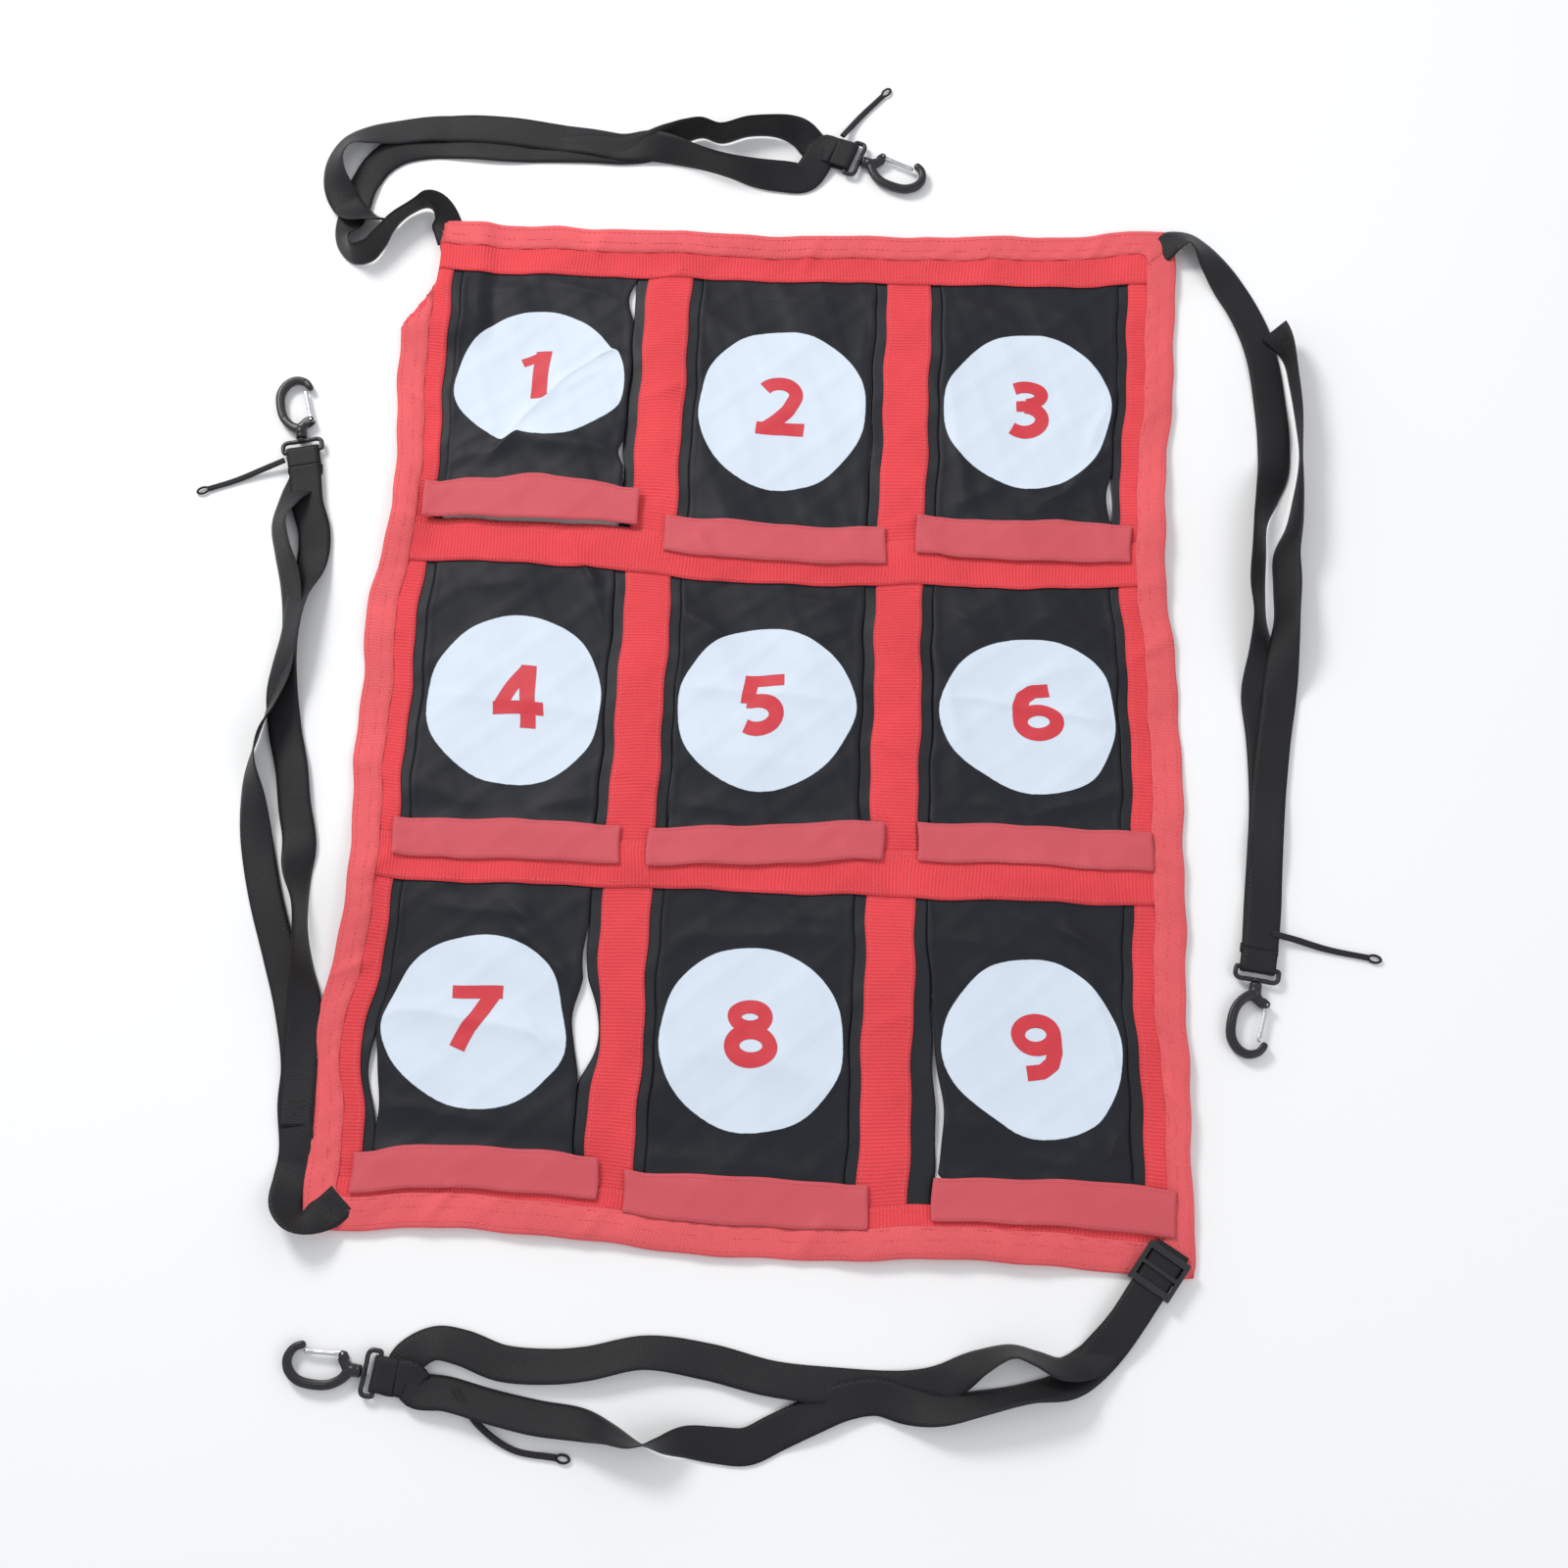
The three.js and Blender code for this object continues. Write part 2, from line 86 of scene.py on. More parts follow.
def new_object(name, points, faces, uvs=None, smooth=True):
    """A mesh object from points in millimetres, faces and one (u, v) per point."""
    mesh = bpy.data.meshes.new(name)
    mesh.from_pydata((np.asarray(points) * MM).tolist(), [], [list(map(int, f)) for f in faces])
    if smooth:
        mesh.shade_smooth()
    if uvs is not None:
        layer = mesh.uv_layers.new(name="cloth")
        loops = np.zeros(len(mesh.loops), dtype=int)
        mesh.loops.foreach_get("vertex_index", loops)
        layer.data.foreach_set("uv", (np.asarray(uvs, float)[loops] * MM * 10).ravel())
    mesh.update()
    obj = bpy.data.objects.new(name, mesh)
    bpy.context.scene.collection.objects.link(obj)
    return obj


def merged(parts):
    """(points, faces, uvs) of several of them as one."""
    points, faces, uvs, n = [], [], [], 0
    for p, f, uv in parts:
        points.append(p)
        uvs.append(uv)
        faces += [[i + n for i in q] for q in f]
        n += len(p)
    return np.concatenate(points), faces, np.concatenate(uvs)


UNDERSIDE = 1000.0  # how far the underside's map lies from the top's, so that print stays on top


def slab(xs, ys, h0, h1, place, turn_uv=False):
    """A thin closed sheet over a grid, put in place by place(x, y, h)."""
    x, y = (g.ravel() for g in np.meshgrid(xs, ys))
    nx, ny = len(xs), len(ys)
    n = nx * ny
    edge = np.zeros((ny, nx), bool)
    edge[0], edge[-1], edge[:, 0], edge[:, -1] = True, True, True, True
    soften = np.where(edge.ravel(), 0.3 * (h1 - h0), 0)
    top = np.stack(place(x, y, h1 - soften), 1)
    low = np.stack(place(x, y, h0 + soften), 1)
    faces = []
    for j in range(ny - 1):
        for i in range(nx - 1):
            a = j * nx + i
            faces.append((a, a + 1, a + nx + 1, a + nx))
            faces.append((n + a, n + a + nx, n + a + nx + 1, n + a + 1))
    rim = [i for i in range(nx)] + [j * nx + nx - 1 for j in range(1, ny)]
    rim += [(ny - 1) * nx + i for i in range(nx - 2, -1, -1)] + [j * nx for j in range(ny - 2, 0, -1)]
    for k, a in enumerate(rim):
        b = rim[(k + 1) % len(rim)]
        faces.append((a, n + a, n + b, b))
    uv = np.stack([y, x] if turn_uv else [x, y], 1)
    return np.concatenate([top, low]), faces, np.concatenate([uv, uv + [0, UNDERSIDE]])


def spaced(a, b, step):
    return np.linspace(a, b, max(2, int(round(abs(b - a) / step)) + 1))


def catmull(points, step):
    """A centripetal Catmull-Rom line through the points, and where each of its samples lies between them."""
    p = np.asarray(points, float)
    ends = np.vstack([2 * p[0] - p[1], p, 2 * p[-1] - p[-2]])
    out, where = [], []
    for i in range(len(p) - 1):
        q = ends[i : i + 4]
        t = np.concatenate([[0], np.cumsum(np.linalg.norm(np.diff(q[:, :3], axis=0), axis=1) ** 0.5)])
        span = np.linalg.norm(q[2, :3] - q[1, :3])
        count = max(1, int(math.ceil(span / step)))
        last = i == len(p) - 2
        s = np.linspace(0, 1, count + 1)
        s = s if last else s[:-1]
        u = (t[1] + s * (t[2] - t[1]))[:, None]
        a1 = (t[1] - u) / (t[1] - t[0]) * q[0] + (u - t[0]) / (t[1] - t[0]) * q[1]
        a2 = (t[2] - u) / (t[2] - t[1]) * q[1] + (u - t[1]) / (t[2] - t[1]) * q[2]
        a3 = (t[3] - u) / (t[3] - t[2]) * q[2] + (u - t[2]) / (t[3] - t[2]) * q[3]
        b1 = (t[2] - u) / (t[2] - t[0]) * a1 + (u - t[0]) / (t[2] - t[0]) * a2
        b2 = (t[3] - u) / (t[3] - t[1]) * a2 + (u - t[1]) / (t[3] - t[1]) * a3
        out.append((t[2] - u) / (t[2] - t[1]) * b1 + (u - t[1]) / (t[2] - t[1]) * b2)
        where.append(i + s)
    return np.concatenate(out), np.concatenate(where)


def unit(v):
    return v / np.maximum(np.linalg.norm(v, axis=-1, keepdims=True), 1e-9)


def loft(rings, closed=False, caps=True):
    """Faces between rings of points, each ring an array of the same length."""
    r = np.asarray(rings)
    count, m = r.shape[:2]
    faces = []
    for i in range(count if closed else count - 1):
        for k in range(m):
            a, b = i * m + k, i * m + (k + 1) % m
            c, d = ((i + 1) % count) * m + k, ((i + 1) % count) * m + (k + 1) % m
            faces.append((a, b, d, c))
    if caps and not closed:
        faces += [tuple(range(m - 1, -1, -1)), tuple((count - 1) * m + k for k in range(m))]
    return r.reshape(-1, 3), faces


# ---------------------------------------------------------------- straps: routes
LOW, HIGH, RAISED, ON_SHEET = 0.4, 2.5, 5.0, 5.2
SLIDER_LOW, SLIDER_HIGH = 5.7, 7.4
WEB_W, WEB_T = 25.0, 1.4
EYE_Z, WRAP_R = 4.8, 2.75

# Each strap: its snap hook's eye, the outgoing and the return run as [x, y, lowest z, roll in degrees], and
# its keeper.
STRAPS = {
    "top_left": dict(
        eye=(45, 478, -19, 1),
        out=[
            (-277, 389, ON_SHEET, 0), (-282, 402, ON_SHEET, 0), (-289, 415, 4, 50), (-300, 421, 2, 88),
            (-313, 415, LOW, 98),
            (-326, 402, LOW, 94), (-335, 386, LOW, 84), (-344, 374, LOW, 80), (-356, 371, LOW, 82),
            (-364, 382, LOW, 62),
            (-364, 400, LOW, 18), (-361, 422, LOW, 0), (-357, 442, LOW, 0), (-347, 462, LOW, -6),
            (-330, 476, LOW, -8),
            (-304, 483, LOW, 0), (-275, 483, LOW, 2), (-241, 481, LOW, 0), (-205, 482, LOW, -3),
            (-170, 482, LOW, -8),
            (-142, 481, LOW, -14), (-120, 483, LOW, -36), (-104, 489, LOW, -66), (-91, 495, LOW, -80),
            (-78, 498, LOW, -84),
            (-62, 493, LOW, -82), (-40, 500, LOW, -80), (-16, 501, LOW, -74), (2, 497, LOW, -50),
            (16, 489, LOW, -10),
        ],
        back=[
            (18, 473, LOW + 3, 8), (8, 458, LOW, 22), (-10, 456, LOW, 40), (-32, 457, LOW, 58),
            (-50, 461, LOW, 72),
            (-74, 468, LOW, 72), (-98, 476, LOW, 56), (-120, 482, HIGH, 30), (-142, 484, HIGH, 8),
            (-170, 489, HIGH, 0),
            (-205, 493, HIGH, 0), (-241, 497, HIGH, 4), (-275, 499, HIGH, 6), (-305, 498, HIGH, 0),
            (-332, 493, HIGH, -8),
            (-354, 488, HIGH, -24), (-371, 480, HIGH, -42), (-380, 464, HIGH, -46), (-380, 447, HIGH, -34),
            (-373, 430, HIGH, -8), (-360, 414, HIGH, 20), (-345, 405, HIGH, 50), (-330, 402, HIGH + 1, 60),
        ],
        keeper=[(38, 497, 6, 0), (44, 508, 2, 0), (53, 521, LOW, 0), (70, 541, LOW, 0)],
    ),
    "top_right": dict(
        eye=(361, -196, -98, 1),
        out=[
            (284, 390, ON_SHEET, 0), (296, 395, ON_SHEET, 0), (308, 402, ON_SHEET, 20), (320, 404, 3, 42),
            (331, 397, LOW, 42),
            (341, 383, LOW, 22), (352, 366, LOW, 4), (363, 346, LOW, 0), (373, 322, LOW, -4),
            (379, 296, LOW, 0),
            (383, 262, LOW, 3), (385, 228, LOW, 0), (384, 203, LOW, 6), (378, 180, LOW, 32),
            (372, 158, LOW, 54),
            (370, 130, LOW, 58), (368, 102, LOW, 58), (369, 74, LOW, 58), (370, 46, LOW, 26),
            (367, 16, LOW, 0),
            (370, -20, LOW, -3), (371, -72, LOW, 0), (368, -108, LOW, 4), (366, -140, LOW, 0),
            (364, -168, LOW, 0),
        ],
        back=[
            (367, -148, HIGH + 1, 0), (369, -110, HIGH, 4), (372, -72, HIGH, 0), (378, -20, HIGH, -5),
            (383, 14, HIGH, 0),
            (385, 46, RAISED, 24), (388, 74, RAISED, 46), (390, 104, HIGH, 44), (390, 128, HIGH, 50),
            (396, 152, HIGH, 70),
            (400, 180, HIGH, 80), (403, 212, HIGH, 92), (403, 242, HIGH, 90), (400, 276, HIGH, 88),
            (396, 302, HIGH, 76),
            (386, 322, HIGH, 40),
        ],
        keeper=[(372, -170, 6, 0), (388, -173, 3, 0), (412, -179, LOW, 0), (441, -184, LOW, 0)],
    ),
    "bottom_left": dict(
        eye=(-378, 196, 102, -1),
        out=[
            (-281, -386, ON_SHEET, 0), (-291, -396, ON_SHEET, -4), (-302, -402, ON_SHEET, -26),
            (-313, -402, 3, -44),
            (-320, -392, LOW + 1, -30), (-320, -374, LOW, -8), (-319, -352, LOW, 0), (-324, -320, LOW, 3),
            (-325, -290, LOW, 0),
            (-334, -252, LOW, 0), (-348, -212, LOW, 0), (-364, -168, LOW, 4), (-375, -128, LOW, 10),
            (-381, -96, LOW, 30),
            (-385, -70, LOW, 56), (-382, -46, LOW, 72), (-375, -22, LOW, 60), (-370, 4, LOW, 50),
            (-368, 32, LOW, 50),
            (-369, 58, LOW, 40), (-374, 84, LOW, 38), (-383, 110, LOW, 50), (-388, 132, LOW, 52),
            (-382, 154, LOW, 34),
            (-375, 172, LOW, 4),
        ],
        back=[
            (-369, 150, HIGH + 2, 0), (-361, 126, HIGH, 0), (-360, 98, HIGH, -8), (-365, 68, RAISED, -30),
            (-367, 38, RAISED, -40),
            (-369, 12, RAISED, -30), (-369, -12, RAISED, -10), (-364, -40, HIGH, 0), (-356, -68, HIGH, 0),
            (-350, -98, HIGH, 0),
            (-343, -126, HIGH, 6), (-340, -152, LOW, 42), (-335, -174, LOW, 70), (-332, -196, LOW, 76),
            (-328, -222, LOW + 1, 62),
            (-324, -250, HIGH, 24), (-323, -292, HIGH, 0), (-321, -336, HIGH, 0),
        ],
        keeper=[(-391, 186, 6, 0), (-408, 179, 3, 0), (-429, 170, LOW, 0), (-450, 162, LOW, 0)],
    ),
    "bottom_right": dict(
        eye=(-245, -503, 173, -1),
        out=[
            (298, -396, SLIDER_LOW, 0), (288, -412, SLIDER_LOW, 0), (277, -429, SLIDER_LOW, 0),
            (266, -446, SLIDER_LOW, 0),
            (253, -462, 3, -6), (240, -474, LOW, -22), (222, -480, LOW, -46), (204, -474, LOW, -58),
            (188, -470, LOW, -62),
            (166, -478, LOW, -45), (144, -491, LOW, -10), (119, -497, LOW, 0), (64, -497, LOW, -4),
            (24, -494, LOW, -16),
            (-19, -485, LOW, -12), (-62, -481, LOW, -18), (-101, -490, LOW, -18), (-125, -493, LOW, -18),
            (-160, -492, LOW, -14),
            (-188, -483, LOW, -14), (-207, -481, LOW, -16), (-224, -491, LOW, -4),
        ],
        back=[
            (-216, -512, LOW + 3, 6), (-195, -514, LOW, 20), (-165, -521, LOW, 26), (-133, -527, LOW, 22),
            (-104, -530, LOW, 26),
            (-84, -535, LOW, 50), (-66, -541, LOW, 72), (-48, -541, LOW, 112), (-30, -538, LOW, 148),
            (-10, -539, LOW, 166),
            (10, -539, LOW, 176), (30, -529, LOW, 180), (52, -518, HIGH, 180), (76, -507, HIGH, 180),
            (98, -503, HIGH, 180),
            (118, -508, HIGH, 190), (140, -510, HIGH, 214), (168, -504, HIGH, 226), (200, -496, HIGH, 230),
            (224, -490, HIGH, 212),
            (240, -478, HIGH, 188), (254, -463, 4.7, 180), (266, -446, SLIDER_HIGH, 180),
            (277, -429, SLIDER_HIGH, 180),
            (288, -412, SLIDER_HIGH, 180), (296, -399, SLIDER_HIGH, 180),
        ],
        keeper=[(-190, -510, 7, 0), (-172, -533, 4, 0), (-148, -548, LOW, 0), (-118, -552, LOW, 0)],
    ),
}


def eye_point(eye, along, z):
    x, y, heading, _ = eye
    a = math.radians(heading)
    return (x + along * math.cos(a), y + along * math.sin(a), z - WEB_T / 2, 0)


def wrap_around(eye):
    """The end of the outgoing run: under the eye's bar, round it and back over the top."""
    d = WRAP_R * 0.707
    ring = [(0, -WRAP_R), (d, -d), (WRAP_R, 0), (d, d), (0, WRAP_R)]
    profile = [(-13, EYE_Z - WRAP_R - 0.6), (-4, EYE_Z - WRAP_R)] + [(a, EYE_Z + z) for a, z in ring]
    profile += [(-7, EYE_Z + WRAP_R), (-14, EYE_Z + WRAP_R - 0.2)]
    return [eye_point(eye, a, z) for a, z in profile]


def leave_eye(eye):
    return [eye_point(eye, a, z) for a, z in ((-14.2, EYE_Z + WRAP_R - 0.2), (-24, EYE_Z + WRAP_R - 1.3))]


class Ribbon:
    """Webbing along a route, with its centre, across (to the raised side), along and out of its face."""

    def __init__(self, route, width, thick, step=2.5, wave=0.0, seed=0):
        line, _ = catmull(route, step)
        centre, roll = line[:, :3].copy(), np.radians(line[:, 3])
        along = unit(np.gradient(centre, axis=0))
        self.s = np.concatenate([[0], np.cumsum(np.linalg.norm(np.diff(centre, axis=0), axis=1))])
        ends = smoothstep(self.s / 60) * smoothstep((self.s[-1] - self.s) / 60)
        ripple = wave * np.sin(self.s / 23 + seed) * ends
        roll = roll + np.radians(ripple * 4)
        centre[:, 2] = np.maximum(centre[:, 2], 0.2) + thick / 2 + width / 2 * np.abs(np.sin(roll))
        side = np.stack([along[:, 1], -along[:, 0], np.zeros(len(along))], 1)
        for i in range(len(side)):
            if np.linalg.norm(side[i]) < 0.05 and i:
                side[i] = side[i - 1]
            elif i and side[i] @ side[i - 1] < 0:
                side[i] = -side[i]
        side = unit(side)
        up = unit(np.cross(side, along))
        across = side * np.cos(roll)[:, None] + up * np.sin(roll)[:, None]
        self.centre, self.along, self.across = centre, along, across
        self.out = unit(np.cross(across, along))
        self.width, self.thick = width, thick

    def at(self, s, a, lift=0.0):
        """The point a millimetres across the webbing and s along it, lifted off its upper face."""
        i = [np.interp(s, self.s, self.centre[:, k]) for k in range(3)]
        w = [np.interp(s, self.s, self.across[:, k]) for k in range(3)]
        o = [np.interp(s, self.s, self.out[:, k]) for k in range(3)]
        return np.array(i) + np.array(w) * a + np.array(o) * (self.thick / 2 + lift)

    def mesh(self, cup=0.5, fray=0.0):
        top = np.linspace(-1, 1, 9)
        a = np.concatenate([top, top[::-1]])
        face = np.concatenate([np.ones(9), -np.ones(9)])
        half = self.thick / 2 * (1 - 0.75 * np.abs(a) ** 10)
        bow = cup * (a * a - 0.3) * np.sin(self.s / 61)[:, None]
        wide = self.width / 2 * (1 + fray * np.sin(self.s / 13))[:, None] * a
        rings = self.centre[:, None] + self.across[:, None] * wide[..., None]
        rings = rings + self.out[:, None] * (face * half + bow)[..., None]
        rings[..., 2] = np.maximum(rings[..., 2], 0.15)
        points, faces = loft(rings)
        uv = np.stack(np.broadcast_arrays(wide, self.s[:, None]), -1).reshape(-1, 2)
        return points, faces, uv


# ---------------------------------------------------------------- materials
def node(tree, kind, **inputs):
    n = tree.nodes.new(kind)
    for key, value in inputs.items():
        if key in n.inputs:
            n.inputs[key].default_value = value
        else:
            setattr(n, key, value)
    return n


def maths(tree, operation, a, b=None, clamp=False):
    n = tree.nodes.new("ShaderNodeMath")
    n.operation, n.use_clamp = operation, clamp
    for k, value in enumerate((a, b)):
        if value is None:
            continue
        if isinstance(value, (int, float)):
            n.inputs[k].default_value = value
        else:
            tree.links.new(value, n.inputs[k])
    return n.outputs[0]


def sine(tree, value, pitch, shift=0.0):
    """sin(2 pi value / pitch), where value is in centimetres times 0.01 and pitch in millimetres."""
    turned = maths(tree, "MULTIPLY", value, 2 * math.pi * 100 / pitch)
    return maths(tree, "SINE", maths(tree, "ADD", turned, shift))


def noise(tree, vector, scale, detail=3.0, roughness=0.5, stretch=(1, 1, 1)):
    mapping = tree.nodes.new("ShaderNodeMapping")
    mapping.inputs["Scale"].default_value = stretch
    tree.links.new(vector, mapping.inputs["Vector"])
    n = node(tree, "ShaderNodeTexNoise", Scale=scale, Detail=detail, Roughness=roughness)
    tree.links.new(mapping.outputs[0], n.inputs["Vector"])
    return maths(tree, "SUBTRACT", n.outputs[0], 0.5)


def start_material(name, colour, rough, spec=0.5, sheen=0.0, metal=0.0):
    m = bpy.data.materials.new(name)
    m.use_nodes = True
    tree = m.node_tree
    tree.nodes.clear()
    out = tree.nodes.new("ShaderNodeOutputMaterial")
    shader = node(tree, "ShaderNodeBsdfPrincipled", Roughness=rough, Metallic=metal)
    shader.inputs["Specular IOR Level"].default_value = spec
    shader.inputs["Sheen Weight"].default_value = sheen
    shader.inputs["Sheen Roughness"].default_value = 0.4
    shader.inputs["Base Color"].default_value = (*colour, 1)
    tree.links.new(shader.outputs[0], out.inputs["Surface"])
    return m, tree, shader


def tint(tree, shader, colour, amount):
    """Base colour times 1 + amount."""
    mix = node(tree, "ShaderNodeVectorMath", operation="SCALE")
    mix.inputs[0].default_value = colour
    tree.links.new(maths(tree, "ADD", amount, 1.0), mix.inputs["Scale"])
    tree.links.new(mix.outputs[0], shader.inputs["Base Color"])


def bump(tree, shader, height, distance, strength=1.0):
    n = node(tree, "ShaderNodeBump", Strength=strength, Distance=distance * MM)
    tree.links.new(height, n.inputs["Height"])
    tree.links.new(n.outputs[0], shader.inputs["Normal"])


def uv_of(tree):
    n = node(tree, "ShaderNodeUVMap", uv_map="cloth")
    parts = tree.nodes.new("ShaderNodeSeparateXYZ")
    tree.links.new(n.outputs[0], parts.inputs[0])
    return n.outputs[0], parts.outputs[0], parts.outputs[1]


def woven(name, colour, across, along, contrast, deep, rough, sheen, mottle, ribs=0.7, spec=0.3):
    """Cloth with threads across and ribs along at the given pitches, worn a little unevenly; on the black flap cloth
    the large patches are painted sheen as well.
    """
    m, tree, shader = start_material(name, colour, rough, spec, sheen)
    uv, u, v = uv_of(tree)
    thread = maths(tree, "MULTIPLY", sine(tree, u, across), sine(tree, v, along * 2))
    rib = sine(tree, v, along)
    height = maths(tree, "ADD", maths(tree, "MULTIPLY", rib, ribs), maths(tree, "MULTIPLY", thread, 1 - ribs))
    # Large colour patches: uneven wear, and on the black flap cloth painted sheen too.
    wear_and_sheen = noise(tree, uv, 1.6, 4)
    grain = noise(tree, uv, 55, 2)
    total = maths(tree, "ADD", maths(tree, "MULTIPLY", height, contrast),
        maths(tree, "MULTIPLY", wear_and_sheen, mottle))
    total = maths(tree, "ADD", total, maths(tree, "MULTIPLY", grain, mottle * 0.8))
    tint(tree, shader, colour, total)
    bump(tree, shader, maths(tree, "ADD", height, maths(tree, "MULTIPLY", grain, 1.2)), deep)
    return m


CIRCLE_R, CIRCLE_DOWN, INK = 67.0, 114.0, (0.67, 0.75, 0.85)


def printed_cloth():
    """The flaps' black cloth with a pale circle printed on it."""
    # Its large colour patches are painted sheen as well as wear.
    m = woven("printed_flap_cloth", BLACK, 1.1, 1.1, 0.12, 0.06, 0.5, 0.04, 0.5, 0.3, 0.24)
    tree = m.node_tree
    shader = next(n for n in tree.nodes if n.type == "BSDF_PRINCIPLED")
    uv, u, v = uv_of(tree)
    down = maths(tree, "ADD", v, CIRCLE_DOWN / 100)
    square = maths(tree, "ADD", maths(tree, "MULTIPLY", u, u), maths(tree, "MULTIPLY", down, down))
    ragged = maths(tree, "MULTIPLY", noise(tree, uv, 24, 2), 0.006)
    away = maths(tree, "ADD", maths(tree, "SQRT", square), ragged)
    inside = maths(tree, "MULTIPLY", maths(tree, "SUBTRACT", CIRCLE_R / 100, away), 220, clamp=True)
    ink = node(tree, "ShaderNodeVectorMath", operation="SCALE")
    ink.inputs[0].default_value = INK
    tree.links.new(maths(tree, "ADD", maths(tree, "MULTIPLY", noise(tree, uv, 1.8, 4), 0.09), 1.0),
        ink.inputs["Scale"])
    mix = tree.nodes.new("ShaderNodeMix")
    mix.data_type = "RGBA"
    tree.links.new(inside, mix.inputs[0])
    tree.links.new(shader.inputs["Base Color"].links[0].from_socket, mix.inputs[6])
    tree.links.new(ink.outputs[0], mix.inputs[7])
    tree.links.new(mix.outputs[2], shader.inputs["Base Color"])
    return m


def plastic_material():
    m, tree, shader = start_material("moulded_plastic", (0.016, 0.016, 0.019), 0.34, 0.45)
    coords = tree.nodes.new("ShaderNodeTexCoord").outputs["Object"]
    fine, wide = noise(tree, coords, 900, 2), noise(tree, coords, 60, 3)
    tint(tree, shader, (0.016, 0.016, 0.019), maths(tree, "MULTIPLY", wide, 0.5))
    rough = maths(tree, "ADD", maths(tree, "MULTIPLY", wide, 0.25), 0.36)
    tree.links.new(rough, shader.inputs["Roughness"])
    bump(tree, shader, fine, 0.05)
    return m


def steel_material():
    m, tree, shader = start_material("gate_steel", (0.62, 0.63, 0.65), 0.3, 0.5, 0, 1.0)
    coords = tree.nodes.new("ShaderNodeTexCoord").outputs["Object"]
    brushed = noise(tree, coords, 260, 3, 0.6, (1, 1, 8))
    tree.links.new(maths(tree, "ADD", maths(tree, "MULTIPLY", brushed, 0.3), 0.32),
        shader.inputs["Roughness"])
    tint(tree, shader, (0.62, 0.63, 0.65), maths(tree, "MULTIPLY", noise(tree, coords, 80), 0.3))
    return m


def ink_material(name, colour, rough=0.5):
    """Printed ink: smooth, with the cloth's weave just showing through."""
    m, tree, shader = start_material(name, colour, rough, 0.4, 0.1)
    uv, u, v = uv_of(tree)
    weave = maths(tree, "MULTIPLY", sine(tree, u, 1.1), sine(tree, v, 1.1))
    cloudy = noise(tree, uv, 2.2, 4)
    tint(tree, shader, colour, maths(tree, "MULTIPLY", cloudy, 0.07))
    bump(tree, shader, maths(tree, "ADD", weave, noise(tree, uv, 30, 3)), 0.04)
    return m


BAND_RED = (0.76, 0.058, 0.07)
HEM_RED = (0.76, 0.108, 0.12)
STRIP_RED = (0.60, 0.088, 0.108)
BLACK = (0.0098, 0.0106, 0.0155)
MAT = {
    "band": woven("ribbed_red_band", BAND_RED, 1.5, 2.6, 0.17, 0.2, 0.75, 0.15, 0.42),
    "hem": woven("red_hem_cloth", HEM_RED, 1.4, 2.4, 0.09, 0.12, 0.7, 0.15, 0.42, 0.6),
    "strip": woven("hook_and_loop_tape", STRIP_RED, 0.9, 0.9, 0.03, 0.05, 0.62, 0.15, 0.14, 0.2),
    # Its large colour patches are painted sheen as well as wear.
    "flap": woven("black_flap_cloth", BLACK, 1.1, 1.1, 0.12, 0.06, 0.5, 0.06, 0.5, 0.3, 0.32),
    "web": woven("black_webbing", (0.0105, 0.0105, 0.0122), 2.1, 1.5, 0.3, 0.16, 0.52, 0.05, 0.5, 0.35, 0.28),
    "elastic": woven("black_elastic", (0.013, 0.013, 0.015), 1.0, 1.3, 0.25, 0.15, 0.6, 0.08, 0.3, 0.6),
    "printed": printed_cloth(),
    "numeral": ink_material("numeral_ink", (0.63, 0.038, 0.054)),
    "thread": woven("red_thread", (0.88, 0.16, 0.17), 0.5, 0.7, 0.1, 0.05, 0.5, 0.2, 0.1),
    "dark_thread": woven("black_thread", (0.035, 0.035, 0.04), 0.5, 0.7, 0.1, 0.05, 0.45, 0.2, 0.1),
    "plastic": plastic_material(),
    "steel": steel_material(),
}


def finish_piece(obj, material, body=ROOT, nodes=()):
    obj.data.materials.append(MAT[material])
    if isinstance(body, str):
        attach(obj, body)
    if nodes:
        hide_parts(*nodes)
    return obj


# ---------------------------------------------------------------- stitches
def stitch(p, q, normal, thick=0.5):
    """One stitch from p to q, standing proud of the cloth in its middle."""
    along = unit(q - p)
    across = unit(np.cross(normal, along))
    rings = []
    for t, high, r in ((0, -0.15, 0.55), (0.25, 0.2, 1), (0.75, 0.2, 1), (1, -0.15, 0.55)):
        c = p + (q - p) * t + normal * high * thick
        rings.append([c + across * r * thick / 2, c + normal * r * thick / 2, c - across * r * thick / 2,
            c - normal * r * thick / 2])
    points, faces = loft(rings)
    along_uv = np.repeat([0, 1, 2, 3], 4)
    return points, faces, np.stack([np.tile([0, 0.4, 0.8, 1.2], 4), along_uv], 1)


def stitch_row(line, pitch=3.6, long=2.6, thick=0.5, normal=None):
    """Stitches along a line of points."""
    line = np.asarray(line, float)
    s = np.concatenate([[0], np.cumsum(np.linalg.norm(np.diff(line, axis=0), axis=1))])
    parts = []
    for a in np.arange(1, s[-1] - long, pitch):
        ends = [np.array([np.interp(t, s, line[:, k]) for k in range(3)]) for t in (a, a + long)]
        n = np.array([0, 0, 1.0]) if normal is None else normal
        parts.append(stitch(*ends, n, thick))
    return parts


# ---------------------------------------------------------------- straps: pieces
def strap_stitches(ribbon, s0, s1):
    """A sewn box with a cross inside it, between two lengths along the webbing."""
    a = WEB_W / 2 - 3
    corners = [(s0, -a), (s1, -a), (s1, a), (s0, a), (s0, -a), (s1, a), (s1, -a), (s0, a)]
    parts = []
    for (t0, a0), (t1, a1) in zip(corners, corners[1:]):
        line = [ribbon.at(t0 + (t1 - t0) * k, a0 + (a1 - a0) * k, 0.1) for k in np.linspace(0, 1, 8)]
        parts += stitch_row(line, 3.0, 2.2, 0.45)
    return parts


